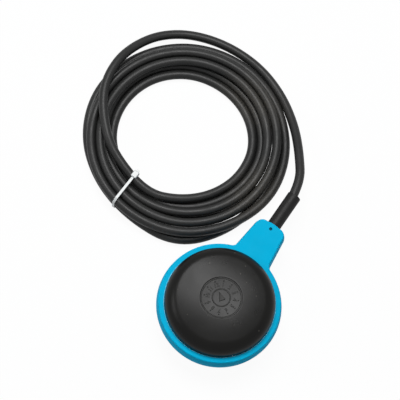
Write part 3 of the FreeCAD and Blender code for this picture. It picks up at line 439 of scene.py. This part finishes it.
class SWITCH_OT_stage(bpy.types.Operator):
    """Pale floor, soft lamps and the camera"""

    bl_idname = "switch.stage"
    bl_label = "Stage"

    def execute(self, context):
        scene = context.scene
        stage = scene.switch_stage
        scene.view_settings.view_transform = "Standard"
        self.add_floor()
        self.add_world(scene)
        self.add_camera(scene, stage)
        self.add_lamp("soft_box", bearing=37.0, elevation=71.0, size=(0.66, 1.10),
                      power=stage.key_power)
        self.add_lamp("side_lamp", bearing=118.0, elevation=40.0, size=(0.6, 0.5),
                      power=stage.key_power * SIDE_LAMP_SHARE)
        return {"FINISHED"}

    def add_floor(self):
        """Matt floor that looks nearly white by itself and still takes a soft shadow."""
        bm = bmesh.new()
        bmesh.ops.create_grid(bm, x_segments=1, y_segments=1, size=FLOOR_HALF_WIDTH)
        bmesh.ops.translate(bm, verts=bm.verts, vec=FLOOR_PLACE)
        mesh = bpy.data.meshes.new("floor")
        bm.to_mesh(mesh)
        bm.free()
        floor = bpy.data.objects.new("floor", mesh)
        bpy.context.scene.collection.objects.link(floor)
        material = bpy.data.materials.new("pale_floor")
        material.use_nodes = True
        nodes, links = material.node_tree.nodes, material.node_tree.links
        nodes.clear()
        paper = nodes.new("ShaderNodeBsdfDiffuse")
        paper.inputs["Color"].default_value = (0.80, 0.81, 0.82, 1.0)
        glow = nodes.new("ShaderNodeEmission")
        glow.inputs["Color"].default_value = (1.0, 1.0, 1.0, 1.0)
        rays = nodes.new("ShaderNodeLightPath")
        seen = self.seen_rays(nodes, links, rays)
        share = nodes.new("ShaderNodeMath")
        share.operation = "MULTIPLY"
        share.inputs[1].default_value = FLOOR_GLOW
        links.new(seen, share.inputs[0])
        mix = nodes.new("ShaderNodeMixShader")
        links.new(share.outputs["Value"], mix.inputs["Fac"])
        links.new(paper.outputs["BSDF"], mix.inputs[1])
        links.new(glow.outputs["Emission"], mix.inputs[2])
        output = nodes.new("ShaderNodeOutputMaterial")
        links.new(mix.outputs["Shader"], output.inputs["Surface"])
        mesh.materials.append(material)

    def seen_rays(self, nodes, links, rays):
        """One for the rays that show the background: straight, through glass and off a gloss."""
        value = rays.outputs["Is Camera Ray"]
        for word in ("Is Transmission Ray", "Is Glossy Ray"):
            either = nodes.new("ShaderNodeMath")
            either.operation = "MAXIMUM"
            links.new(value, either.inputs[0])
            links.new(rays.outputs[word], either.inputs[1])
            value = either.outputs["Value"]
        return value

    def add_world(self, scene):
        """White room for the rays that show it, and a dim one for the light that it gives."""
        world = bpy.data.worlds.new("soft_room")
        world.use_nodes = True
        nodes, links = world.node_tree.nodes, world.node_tree.links
        room = nodes["Background"]
        room.inputs["Color"].default_value = (0.93, 0.96, 1.0, 1.0)
        room.inputs["Strength"].default_value = 0.10
        white = nodes.new("ShaderNodeBackground")
        white.inputs["Color"].default_value = (1.0, 1.0, 1.0, 1.0)
        white.inputs["Strength"].default_value = 1.0
        rays = nodes.new("ShaderNodeLightPath")
        mix = nodes.new("ShaderNodeMixShader")
        links.new(self.seen_rays(nodes, links, rays), mix.inputs["Fac"])
        links.new(room.outputs["Background"], mix.inputs[1])
        links.new(white.outputs["Background"], mix.inputs[2])
        links.new(mix.outputs["Shader"], nodes["World Output"].inputs["Surface"])
        scene.world = world

    def add_camera(self, scene, stage):
        """Camera whose picture holds the float's middle at a fixed place of a square frame."""
        along = Vector((math.cos(stage.bearing), math.sin(stage.bearing), 0.0))
        upright = Vector((0.0, 0.0, 1.0))
        forward = along * math.cos(stage.elevation) - upright * math.sin(stage.elevation)
        level_up = along * math.sin(stage.elevation) + upright * math.cos(stage.elevation)
        level_right = forward.cross(level_up)
        up = level_up * math.cos(stage.roll) - level_right * math.sin(stage.roll)
        right = level_right * math.cos(stage.roll) + level_up * math.sin(stage.roll)
        offset = right * (MIDDLE_RIGHT * PIXEL) + up * (MIDDLE_UP * PIXEL)
        data = bpy.data.cameras.new("camera")
        data.sensor_width = SENSOR_WIDTH
        data.lens = SENSOR_WIDTH * stage.distance / (PICTURE_PIXELS * PIXEL)
        data.clip_start = 0.05
        camera = bpy.data.objects.new("camera", data)
        scene.collection.objects.link(camera)
        turn = Matrix((right, up, -forward)).transposed().to_4x4()
        place = FLOAT_MIDDLE - offset - forward * stage.distance
        camera.matrix_world = Matrix.Translation(place) @ turn
        scene.camera = camera

    def add_lamp(self, name, bearing, elevation, size, power):
        """Wide soft lamp that faces the object, its long side across the neck."""
        data = bpy.data.lights.new(name, "AREA")
        data.shape = "RECTANGLE"
        data.size, data.size_y = size
        data.energy = power
        lamp = bpy.data.objects.new(name, data)
        bpy.context.scene.collection.objects.link(lamp)
        turn, lift = math.radians(bearing), math.radians(elevation)
        level = math.cos(lift)
        outward = Vector((math.cos(turn) * level, math.sin(turn) * level, math.sin(lift)))
        across = Vector((0.0, 1.0, 0.0))
        across = (across - outward * across.dot(outward)).normalized()
        spin = Matrix((across.cross(outward), across, outward)).transposed().to_4x4()
        lamp.matrix_world = Matrix.Translation(LAMP_TARGET + outward * LAMP_DISTANCE) @ spin


# The parting line's flash is traced from the edges this near to the ring's far side.
FAR_SIDE_REACH = 0.5 * MM
FLASH_RISE = 0.10 * MM
FLASH_HALF_HEIGHT = 0.22 * MM

BEAD_RING_RADIUS = 45.75 * MM
BEAD_RADIUS = 0.22 * MM
BEAD_SINK = 0.10 * MM

# The pin's middle lies inwards of the neck's end and below its top face.
PIN_RADIUS = 1.25 * MM
PIN_DEPTH = 1.8 * MM
PIN_ROUNDING = 0.3 * MM
PIN_INSET = 6.3 * MM
PIN_DROP = 1.6 * MM


class SWITCH_OT_housing(bpy.types.Operator):
    """Finish of the blue ring and neck, its parting line, its lip beads with a painted highlight,
    and a dark plug of painted shade in the neck's hole
    """

    bl_idname = "switch.housing"
    bl_label = "Housing"

    def execute(self, context):
        color = context.scene.switch_finish.housing
        blue = moulded("housing_blue", color, 0.60, 0.000018, Specular_IOR_Level=0.04)
        blue.put_on(NODES["float_housing"])
        # The lip beads' lighter, glossier blue is a painted highlight along the lip's inner edge.
        pale = moulded("lip_edge_painted_highlight", (0.10, 0.50, 0.74), 0.25, 0.00001, Specular_IOR_Level=0.7)
        line = self.add_parting_line()
        blue.put_on(line)
        low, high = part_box("float_housing")
        for name, height, way in (
            ("upper_lip_bead", high[2], 1.0), ("lower_lip_bead", low[2], -1.0)
        ):
            bead = self.add_lip_bead(name, height, way)
            pale.put_on(bead)
        pin = self.add_neck_pin(high[2])
        # The plug's dark blue stands in for the shade inside the hole: painted shade.
        moulded("hole_painted_shade", (0.002, 0.070, 0.115), 0.6, Specular_IOR_Level=0.06).put_on(pin)
        return {"FINISHED"}

    def add_neck_pin(self, height):
        """Dark plug in the small hole in the neck's top face, whose dark blue is painted shade of
        the hole.
        """
        bm = bmesh.new()
        bmesh.ops.create_cone(bm, cap_ends=True, segments=28, radius1=PIN_RADIUS,
                              radius2=PIN_RADIUS, depth=PIN_DEPTH)
        rim = [edge for edge in bm.edges if min(vert.co.z for vert in edge.verts) > 0]
        bevel_edges(bm, rim, PIN_ROUNDING, 3)
        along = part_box("float_housing")[1][0] - PIN_INSET
        bmesh.ops.translate(bm, verts=bm.verts, vec=(along, 0, height - PIN_DROP))
        pin = add_piece("neck_pin", finish_mesh("neck_pin", bm))
        set_sharp_by_angle(pin)
        return pin

    def add_parting_line(self):
        """Thin flash around the middle of the moulding, cut from the housing's own outline."""
        low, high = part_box("float_housing")
        middle = (low[2] + high[2]) / 2
        bm = bmesh.new()
        bm.from_mesh(NODES["float_housing"].data)
        bmesh.ops.remove_doubles(bm, verts=bm.verts, dist=MERGE_DISTANCE)
        cut = bmesh.ops.bisect_plane(
            bm, geom=bm.verts[:] + bm.edges[:] + bm.faces[:], plane_co=(0, 0, middle),
            plane_no=(0, 0, 1), clear_inner=False, clear_outer=False,
        )
        kept = {item for item in cut["geom_cut"] if isinstance(item, bmesh.types.BMEdge)}
        loop = self.outer_loop(kept, low[0] + FAR_SIDE_REACH)
        bmesh.ops.delete(bm, geom=bm.faces[:], context="FACES_ONLY")
        bmesh.ops.delete(bm, geom=[edge for edge in bm.edges if edge not in loop], context="EDGES")
        crest, outline = bm.verts[:], bm.edges[:]
        for way in (1.0, -1.0):
            grown = bmesh.ops.extrude_edge_only(bm, edges=outline)
            verts = [item for item in grown["geom"] if isinstance(item, bmesh.types.BMVert)]
            bmesh.ops.translate(bm, verts=verts, vec=(0, 0, way * FLASH_HALF_HEIGHT))
        centre = Vector((0.0, 0.0, middle))
        for vert in crest:
            vert.co += (vert.co - centre).normalized() * FLASH_RISE
        return add_piece("parting_line", finish_mesh("parting_line", bm))

    def outer_loop(self, edges, limit):
        """Those of the edges that join up with the ones on the ring's far side from the neck."""
        front = [edge for edge in edges if min(vert.co.x for vert in edge.verts) < limit]
        loop = set(front)
        while front:
            for vert in front.pop().verts:
                for other in vert.link_edges:
                    if other in edges and other not in loop:
                        loop.add(other)
                        front.append(other)
        return loop

    def add_lip_bead(self, name, height, way):
        """Fine rounded bead on the lip's inner edge."""
        middle = (BEAD_RING_RADIUS, height - way * BEAD_SINK)
        points = arc_points(middle, BEAD_RADIUS, 0, 360, 12)[:-1]
        return add_piece(name, finish_mesh(name, lathed(points, LATHE_STEPS, closed=True)))


# The dome's section: how far its crown lies under the badge's top, its wall, its flange's width,
# how far the flange lies under the housing's top, and the rounding of the badge's edge.
CROWN_DROP = 0.095 * MM
SHELL_WALL = 2.2 * MM
FLANGE_WIDTH = 2.0 * MM
LEDGE_DROP = 2.6 * MM
BADGE_ROUNDING = 0.18 * MM

# The badge's dial, whose relief starts a hair under the badge's floor
DIAL_BITE = 0.01 * MM
DIAL_LIFT = 0.36 * MM
DIAL_RINGS = ((16.1 * MM, 0.40 * MM), (7.2 * MM, 0.55 * MM))
RING_TOP_SHARE = 0.45
RING_STEPS = 96
DIAL_NUMBERS = 12
TICK_REACH = 13.9 * MM
TICK_FOOT, TICK_TOP = 0.75 * MM, 0.35 * MM
ARROW_FOOT, ARROW_TOP = 5.2 * MM, 4.2 * MM
ARROW_NARROWING = 0.62
NUMBER_REACH = 10.8 * MM
NUMBER_SIZE = 4.4 * MM
NUMBER_ROUNDING = 0.13 * MM
UPPER_DIAL_TURN = math.radians(-35.0)


class SWITCH_OT_domes(bpy.types.Operator):
    """Black domes with their badges, the finish of both, and a painted highlight on the badges'
    relief
    """

    bl_idname = "switch.domes"
    bl_label = "Domes"

    def execute(self, context):
        scene = context.scene
        black = self.make_finish(scene.switch_finish.dome)
        # The dial's relief is painted lighter than the domes: a painted highlight where light
        # catches the raised marks.
        relief = moulded("badge_relief_painted_highlight", scaled(scene.switch_finish.dome, 1.6), 0.42, 0.00001,
                         Specular_IOR_Level=0.16)
        for side, node, way in (("upper", "upper_dome", 1.0), ("lower", "lower_dome", -1.0)):
            shell = self.add_shell(scene.switch_domes, side + "_dome_shell", way)
            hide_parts(node)
            black.put_on(shell)
            dial = self.add_dial(scene.switch_domes, side + "_badge_dial", way)
            relief.put_on(dial)
        return {"FINISHED"}

    def make_finish(self, color):
        """Black with a cloudy tone and sheen, faint scuffs, a few pale specks and a fine grain."""
        black = Finish("dome_black", color, 0.29, Specular_IOR_Level=0.135)
        black.tint(black.span(black.noise(26.0, 4.0), 0.45, 0.8, 0.0, 0.5), scaled(color, 1.5))
        black.vary_roughness(black.noise(60.0, 5.0), 0.26, 0.34)
        scuffs = black.noise(420.0, 2.0, stretch=(1.0, 9.0, 1.0))
        black.tint(black.span(scuffs, 0.72, 0.80, 0.0, 0.5), scaled(color, 5.0))
        specks = black.span(black.cells(130.0), 0.02, 0.07, 1.0, 0.0)
        black.tint(black.times(specks, 0.5), (0.22, 0.21, 0.18))
        black.bump(black.noise(1900.0, 2.0), 0.00002, 0.7)
        black.bump(black.noise(38.0, 2.0), 0.00025, 0.12)
        return black

    def add_shell(self, domes, name, way):
        """Half of the float's skin, lathed from its section and closed on the inside."""
        low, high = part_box("upper_dome")
        flange, foot = high[0], low[2]
        rim = high[0] - FLANGE_WIDTH
        crown, shoulder = domes.crown_radius, domes.shoulder_radius
        badge, soft = domes.badge_radius, BADGE_ROUNDING
        sink = high[2] - CROWN_DROP - math.sqrt(crown ** 2 - badge ** 2)
        shoulder_height = sink + math.sqrt((crown - shoulder) ** 2 - (rim - shoulder) ** 2)
        knee = (rim - shoulder, shoulder_height)
        lean = math.degrees(math.atan2(shoulder_height - sink, rim - shoulder))
        step = math.degrees(math.acos((badge + soft) / crown))
        edge = sink + crown * math.sin(math.radians(step))
        floor = high[2] - CROWN_DROP - domes.badge_depth
        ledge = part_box("float_housing")[1][2] - LEDGE_DROP
        profile = [(0.0, floor)]
        profile += arc_points((badge - 2 * soft, floor + soft), soft, 270, 340, 4)
        profile += arc_points((badge + soft, edge - soft), soft, 160, 90, 4)
        profile += arc_points((0.0, sink), crown, step, lean, 30)[1:]
        profile += arc_points(knee, shoulder, lean, 0, 20)[1:]
        profile += [(rim, ledge), (flange, ledge), (flange, foot), (rim - SHELL_WALL, foot)]
        profile += arc_points(knee, shoulder - SHELL_WALL, 0, lean, 10)
        profile += arc_points((0.0, sink), crown - SHELL_WALL, lean, 90, 14)[1:]
        if way < 0:
            profile = [(radius, 2 * foot - height) for radius, height in profile]
        shell = add_piece(name, finish_mesh(name, lathed(profile, LATHE_STEPS)))
        set_sharp_by_angle(shell, 40.0)
        return shell

    def add_dial(self, domes, name, way):
        """Raised rings, ticks and plain numbers of a mould date dial."""
        low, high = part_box("upper_dome")
        base, lift = high[2] - CROWN_DROP - DIAL_BITE - domes.badge_depth, DIAL_LIFT
        bm = bmesh.new()
        for radius, half in DIAL_RINGS:
            points = [(radius - half, base), (radius - RING_TOP_SHARE * half, base + lift),
                      (radius + RING_TOP_SHARE * half, base + lift), (radius + half, base)]
            take_over(bm, lathed(points, RING_STEPS))
        for count in range(DIAL_NUMBERS):
            tick = bmesh.new()
            bmesh.ops.create_cone(tick, cap_ends=True, segments=4, radius1=TICK_FOOT,
                                  radius2=TICK_TOP, depth=lift)
            bmesh.ops.translate(tick, vec=(TICK_REACH, 0, base + lift / 2), verts=tick.verts)
            turn = Matrix.Rotation(count * math.tau / DIAL_NUMBERS, 3, "Z")
            bmesh.ops.rotate(tick, cent=(0, 0, 0), matrix=turn, verts=tick.verts)
            take_over(bm, tick)
            take_over(bm, self.number(count + 1, base, lift))
        arrow = bmesh.new()
        bmesh.ops.create_cone(arrow, cap_ends=True, segments=3, radius1=ARROW_FOOT,
                              radius2=ARROW_TOP, depth=lift)
        bmesh.ops.scale(arrow, vec=(ARROW_NARROWING, 1.0, 1.0), verts=arrow.verts)
        bmesh.ops.translate(arrow, vec=(0, 0, base + lift / 2), verts=arrow.verts)
        take_over(bm, arrow)
        if way < 0:
            centre, turn = (0, 0, low[2]), Matrix.Rotation(math.pi, 3, "X")
        else:
            centre, turn = (0, 0, 0), Matrix.Rotation(UPPER_DIAL_TURN, 3, "Z")
        bmesh.ops.rotate(bm, cent=centre, matrix=turn, verts=bm.verts)
        return add_piece(name, finish_mesh(name, bm, smooth=False))

    def number(self, value, base, lift):
        """Raised number at its place of the dial, upright to a reader in the dial's middle."""
        curve = bpy.data.curves.new("number", "FONT")
        curve.body = str(value)
        curve.size = NUMBER_SIZE
        curve.align_x = "CENTER"
        curve.align_y = "CENTER"
        curve.extrude = lift / 2 - NUMBER_ROUNDING
        curve.bevel_depth = NUMBER_ROUNDING
        curve.bevel_resolution = 1
        curve.resolution_u = 3
        text = bpy.data.objects.new("number", curve)
        bpy.context.scene.collection.objects.link(text)
        bpy.context.view_layer.update()
        mesh = bpy.data.meshes.new_from_object(text)
        bpy.data.objects.remove(text)
        bpy.data.curves.remove(curve)
        part = bmesh.new()
        part.from_mesh(mesh)
        bpy.data.meshes.remove(mesh)
        bearing = math.pi / 2 - value * math.tau / DIAL_NUMBERS
        turn = Matrix.Rotation(bearing - math.pi / 2, 3, "Z")
        bmesh.ops.rotate(part, cent=(0, 0, 0), matrix=turn, verts=part.verts)
        across, along = NUMBER_REACH * math.cos(bearing), NUMBER_REACH * math.sin(bearing)
        bmesh.ops.translate(part, vec=(across, along, base + lift / 2), verts=part.verts)
        return part


class SWITCH_OT_sleeve(bpy.types.Operator):
    """Finish of the sleeve"""

    bl_idname = "switch.sleeve"
    bl_label = "Sleeve"

    def execute(self, context):
        color = context.scene.switch_finish.cable
        black = moulded("sleeve_black", scaled(color, 0.8), 0.45, 0.00003, Specular_IOR_Level=0.14)
        black.bump(black.noise(300.0, 3.0, stretch=(1.0, 12.0, 12.0)), 0.00005, 0.35)
        black.put_on(NODES["cable_sleeve"])
        return {"FINISHED"}


# How finely the cable's spline is stepped between two of its points, and rounded across
CABLE_STEPS = 10
CABLE_ROUNDNESS = 8

# Places on the cable that are worn dusty, each with its spread along the axes
WORN_PATCHES = (
    ((0.102, 0.031, 0.012), (1.5, 1.0, 1.0)),
    ((0.174, 0.078, 0.010), (1.0, 1.6, 1.0)),
)
WORN_REACH = 0.026
DUST_COLOR = (0.046, 0.042, 0.035)

# The free end: each core starts inside the cable, and its copper inside the core.
CORE_OFFSET = 1.45 * MM
CORE_RADIUS = 1.1 * MM
CORE_START = 1.0 * MM
CORE_ROUNDING = 0.25 * MM
COPPER_START = 0.1 * MM
COPPER_LENGTH = 4.0 * MM
COPPER_RADIUS = 0.6 * MM
COPPER_WIRES = 7
COPPER_STAGGER = 0.3 * MM


class SWITCH_OT_cord(bpy.types.Operator):
    """Cable with its lead, its coil and its bare free end"""

    bl_idname = "switch.cord"
    bl_label = "Cable"

    def execute(self, context):
        scene = context.scene
        settings = scene.switch_cord
        points = self.route()
        cable = self.add_cable(settings, points)
        rubber = self.make_finish(scene.switch_finish.cable)
        rubber.put_on(cable)
        rubber.put_on(NODES["cable_end"])
        ends = self.add_free_end(settings, points)
        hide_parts("cable", "cable_coil")
        return {"FINISHED"}

    def route(self):
        """Control points of the lead and then of every turn, in metres.

        A turn's points lie outside the curve, which touches the lines between them halfway.
        """
        points = [Vector(corner) * MM for corner in LEAD]
        reach = 1.0 / math.cos(math.radians(BEARING_STEP / 2))
        for radii, heights in zip(TURN_RADII, TURN_HEIGHTS):
            for step, (radius, height) in enumerate(zip(radii, heights)):
                bearing = math.radians(FIRST_BEARING + BEARING_STEP * step)
                points.append(Vector((
                    COIL_CENTRE[0] + radius * reach * math.cos(bearing),
                    COIL_CENTRE[1] + radius * reach * math.sin(bearing),
                    height,
                )) * MM)
        return points

    def add_cable(self, settings, points):
        """One open spline, as thick as the cable."""
        curve = bpy.data.curves.new("cable_cord", "CURVE")
        curve.dimensions = "3D"
        spline = curve.splines.new("NURBS")
        spline.points.add(len(points) - 1)
        for target, point in zip(spline.points, points):
            target.co = (*point, 1.0)
            target.radius = settings.diameter / 2
        spline.order_u = 3
        spline.use_endpoint_u = True
        spline.resolution_u = CABLE_STEPS
        curve.resolution_u = CABLE_STEPS
        curve.bevel_depth = 1.0
        curve.bevel_resolution = CABLE_ROUNDNESS
        curve.use_fill_caps = True
        cable = bpy.data.objects.new("cable_cord", curve)
        bpy.context.scene.collection.objects.link(cable)
        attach(cable, FLOAT_BODY)
        return cable

    def make_finish(self, color):
        """Black rubber with pale dust, two worn patches, an uneven sheen and a fine grain."""
        rubber = Finish("cable_rubber", color, 0.40, Specular_IOR_Level=0.22)
        rubber.tint(rubber.span(rubber.noise(34.0, 4.0), 0.45, 0.75, 0.0, 0.6), scaled(color, 1.7))
        dust = rubber.span(rubber.noise(900.0, 3.0), 0.55, 0.8, 0.0, 0.35)
        rubber.tint(dust, scaled(color, 3.0))
        grit = rubber.span(rubber.noise(620.0, 4.0, 0.7), 0.40, 0.62, 0.1, 0.9)
        for centre, stretch in WORN_PATCHES:
            worn = rubber.times(rubber.near(centre, WORN_REACH, stretch), grit)
            rubber.tint(worn, DUST_COLOR)
        rubber.vary_roughness(rubber.noise(120.0, 4.0), 0.35, 0.47)
        rubber.bump(rubber.noise(1500.0, 3.0), 0.00003, 0.6)
        rubber.bump(rubber.noise(160.0, 2.0), 0.00012, 0.3)
        return rubber

    def add_free_end(self, settings, points):
        """Three short cores with copper tips out of the cut end."""
        end, before = points[-1], points[-2]
        along = (end - before).normalized()
        side = along.cross(Vector((0, 0, 1))).normalized()
        over = side.cross(along)
        pieces = []
        length = settings.core_length + CORE_START
        for count, (word, color) in enumerate(WIRE_COLORS.items()):
            turn = math.radians(90 + 120 * count)
            offset = (side * math.cos(turn) + over * math.sin(turn)) * CORE_OFFSET
            start = end + offset - along * CORE_START
            core = self.add_core("free_core_" + word, start, along, length)
            moulded("insulation_" + word, color, 0.45).put_on(core)
            tip = start + along * (length - COPPER_START)
            strands = self.add_strands("copper_" + word, tip, along)
            metal("copper_" + word, (0.72, 0.32, 0.16), 0.32).put_on(strands)
            pieces += [core, strands]
        return pieces

    def stub(self, start, along, radius, length, bevel=0.0):
        """Short straight rod, with its ends rounded by a bevel if there is one."""
        bm = bmesh.new()
        bmesh.ops.create_cone(bm, cap_ends=True, cap_tris=False, segments=20, radius1=radius,
                              radius2=radius, depth=length)
        if bevel:
            rims = [edge for edge in bm.edges
                    if abs(edge.verts[0].co.z - edge.verts[1].co.z) < 1e-7]
            bevel_edges(bm, rims, bevel, 2)
        turn = along.to_track_quat("Z", "Y").to_matrix()
        bmesh.ops.rotate(bm, cent=(0, 0, 0), matrix=turn, verts=bm.verts)
        bmesh.ops.translate(bm, vec=start + along * length / 2, verts=bm.verts)
        return bm

    def add_core(self, name, start, along, length):
        """One insulated core."""
        rod = self.stub(start, along, CORE_RADIUS, length, CORE_ROUNDING)
        piece = add_piece(name, finish_mesh(name, rod))
        set_sharp_by_angle(piece)
        return piece

    def add_strands(self, name, start, along):
        """Fine wires of uneven length, one in the middle and the others round it."""
        side = along.cross(Vector((0, 0, 1))).normalized()
        over = side.cross(along)
        bm = bmesh.new()
        for count in range(COPPER_WIRES):
            reach = 0.0 if count == 0 else COPPER_RADIUS * 0.66
            turn = count * math.tau / (COPPER_WIRES - 1)
            offset = (side * math.cos(turn) + over * math.sin(turn)) * reach
            length = COPPER_LENGTH - count % 3 * COPPER_STAGGER
            take_over(bm, self.stub(start + offset, along, COPPER_RADIUS / 3, length))
        return add_piece(name, finish_mesh(name, bm))


# The strap's section about the coil's strands: distances from the coil's centre and heights
STRAP_INNER, STRAP_OUTER = 56.0 * MM, 86.0 * MM
STRAP_LOW, STRAP_HIGH = 0.95 * MM, 17.8 * MM
STRAP_CORNER = 4.6 * MM

# The head and the strap's tail in it: their sizes, their places and the rounding of their edges
HEAD_SIZE = (6.2 * MM, 5.2 * MM, 4.4 * MM)
HEAD_PLACE = (STRAP_INNER - 0.2 * MM, 0, STRAP_HIGH - 0.6 * MM)
HEAD_ROUNDING = 0.7 * MM
TAIL_LENGTH, TAIL_THICKNESS = 2.0 * MM, 1.1 * MM
TAIL_PLACE = (STRAP_INNER - 4.0 * MM, 0, STRAP_HIGH - 0.4 * MM)
TAIL_ROUNDING = 0.2 * MM


class SWITCH_OT_tie(bpy.types.Operator):
    """White tie round the coil, with its head and tail"""

    bl_idname = "switch.tie"
    bl_label = "Tie"

    def execute(self, context):
        scene = context.scene
        settings = scene.switch_tie
        nylon = Finish("tie_nylon", scene.switch_finish.tie, 0.35, Specular_IOR_Level=0.5)
        nylon.tint(nylon.span(nylon.noise(220.0, 3.0), 0.45, 0.8, 0.0, 0.4),
                   scaled(scene.switch_finish.tie, 0.88))
        nylon.bump(nylon.noise(1200.0, 2.0), 0.00003, 0.5)
        strap = self.add_strap(settings)
        nylon.put_on(strap)
        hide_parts("cable_tie")
        return {"FINISHED"}

    def add_strap(self, settings):
        """Band with rounded corners, made at the bearing nought and turned to its place."""
        bm = bmesh.new()
        corners = ((STRAP_INNER, STRAP_LOW), (STRAP_OUTER, STRAP_LOW),
                   (STRAP_OUTER, STRAP_HIGH), (STRAP_INNER, STRAP_HIGH))
        verts = [bm.verts.new((across, 0, height)) for across, height in corners]
        face = bm.faces.new(verts)
        bmesh.ops.bevel(bm, geom=face.verts[:], offset=STRAP_CORNER, offset_type="OFFSET",
                        segments=7, profile=0.5, affect="VERTICES", material=-1,
                        clamp_overlap=True)
        bmesh.ops.delete(bm, geom=bm.faces[:], context="FACES_ONLY")
        grown = bmesh.ops.extrude_edge_only(bm, edges=bm.edges[:])
        far = [item for item in grown["geom"] if isinstance(item, bmesh.types.BMVert)]
        bmesh.ops.translate(bm, verts=far, vec=(0, settings.width, 0))
        bmesh.ops.translate(bm, verts=bm.verts, vec=(0, -settings.width / 2, 0))
        bmesh.ops.recalc_face_normals(bm, faces=bm.faces)
        bmesh.ops.solidify(bm, geom=bm.faces[:], thickness=-settings.thickness)
        self.add_head(bm, settings.width)
        slant = Matrix.Rotation(settings.slant, 3, "Z")
        middle = ((STRAP_INNER + STRAP_OUTER) / 2, 0, 0)
        bmesh.ops.rotate(bm, cent=middle, matrix=slant, verts=bm.verts)
        turn = Matrix.Rotation(settings.bearing, 3, "Z")
        bmesh.ops.rotate(bm, cent=(0, 0, 0), matrix=turn, verts=bm.verts)
        centre = (COIL_CENTRE[0] * MM, COIL_CENTRE[1] * MM, 0)
        bmesh.ops.translate(bm, verts=bm.verts, vec=centre)
        return add_piece("tie_strap", finish_mesh("tie_strap", bm, smooth=False))

    def add_head(self, bm, width):
        """Ratchet head on the coil's inner side, with the strap's short tail through it."""
        tail_size = (TAIL_LENGTH, width, TAIL_THICKNESS)
        for size, place, round_off in (
            (HEAD_SIZE, HEAD_PLACE, HEAD_ROUNDING), (tail_size, TAIL_PLACE, TAIL_ROUNDING)
        ):
            block = bmesh.new()
            bmesh.ops.create_cube(block, size=1.0)
            bmesh.ops.scale(block, vec=size, verts=block.verts)
            bevel_edges(block, block.edges[:], round_off, 3)
            bmesh.ops.translate(block, vec=place, verts=block.verts)
            take_over(bm, block)


class SWITCH_OT_capsule(bpy.types.Operator):
    """Finishes of the sealed capsule, its gland and its screws"""

    bl_idname = "switch.capsule"
    bl_label = "Capsule"

    def execute(self, context):
        grey = moulded("capsule_grey", (0.13, 0.14, 0.15), 0.45)
        grey.put_on(NODES["capsule_case"], NODES["capsule_lid"])
        seal = moulded("seal_rubber", (0.03, 0.03, 0.03), 0.65, 0.00003)
        seal.put_on(NODES["capsule_gasket"], NODES["gland_seal"])
        moulded("nut_black", (0.035, 0.035, 0.038), 0.42).put_on(NODES["gland_nut"])
        zinc = metal("screw_steel", (0.58, 0.59, 0.60), 0.32)
        zinc.put_on(NODES["lid_screws"], NODES["switch_screws"], NODES["lever_pin"])
        return {"FINISHED"}


class SWITCH_OT_mechanism(bpy.types.Operator):
    """Finishes of the ball, its track, the switch and its wires"""

    bl_idname = "switch.mechanism"
    bl_label = "Mechanism"

    def execute(self, context):
        ball = metal("ball_steel", (0.70, 0.71, 0.72), 0.14, (1.0, 1.0, 1.0))
        ball.put_on(NODES["steel_ball"])
        moulded("track_white", (0.66, 0.67, 0.65), 0.4).put_on(NODES["ball_track"])
        black = moulded("switch_black", (0.04, 0.04, 0.043), 0.4)
        black.put_on(NODES["switch_base"], NODES["switch_cover"])
        lever = metal("lever_steel", (0.62, 0.63, 0.64), 0.28, (30.0, 1.0, 1.0))
        lever.put_on(NODES["switch_lever"])
        moulded("plunger_red", (0.5, 0.04, 0.03), 0.35).put_on(NODES["switch_plunger"])
        brass = metal("terminal_brass", (0.72, 0.52, 0.22), 0.3)
        brass.put_on(*(NODES["terminal_" + word] for word in ("common", "closed", "open")))
        metal("connector_tin", (0.66, 0.65, 0.62), 0.36).put_on(NODES["push_on_connectors"])
        for word, color in WIRE_COLORS.items():
            moulded("wire_" + word, color, 0.45).put_on(NODES["core_" + word])
        return {"FINISHED"}


class SWITCH_PT_panel(bpy.types.Panel):
    """Lists the float switch's steps"""

    bl_idname = "SWITCH_PT_panel"
    bl_label = "Float Switch"
    bl_space_type = "VIEW_3D"
    bl_region_type = "UI"
    bl_category = "Float Switch"

    def draw(self, context):
        for operator in OPERATORS:
            self.layout.operator(operator.bl_idname)
        for attribute, group in SETTINGS.items():
            box = self.layout.box()
            for word in group.__annotations__:
                box.prop(getattr(context.scene, attribute), word)


OPERATORS = (
    SWITCH_OT_stage,
    SWITCH_OT_housing,
    SWITCH_OT_domes,
    SWITCH_OT_sleeve,
    SWITCH_OT_tie,
    SWITCH_OT_cord,
    SWITCH_OT_capsule,
    SWITCH_OT_mechanism,
)
CLASSES = (*SETTINGS.values(), *OPERATORS, SWITCH_PT_panel)


def register():
    for each in CLASSES:
        bpy.utils.register_class(each)
    for attribute, group in SETTINGS.items():
        setattr(bpy.types.Scene, attribute, PointerProperty(type=group))


def unregister():
    for attribute in SETTINGS:
        delattr(bpy.types.Scene, attribute)
    for each in reversed(CLASSES):
        bpy.utils.unregister_class(each)


def main():
    register()
    for operator in OPERATORS:
        group, name = operator.bl_idname.split(".")
        getattr(getattr(bpy.ops, group), name)()


if __name__ == "__main__":
    main()
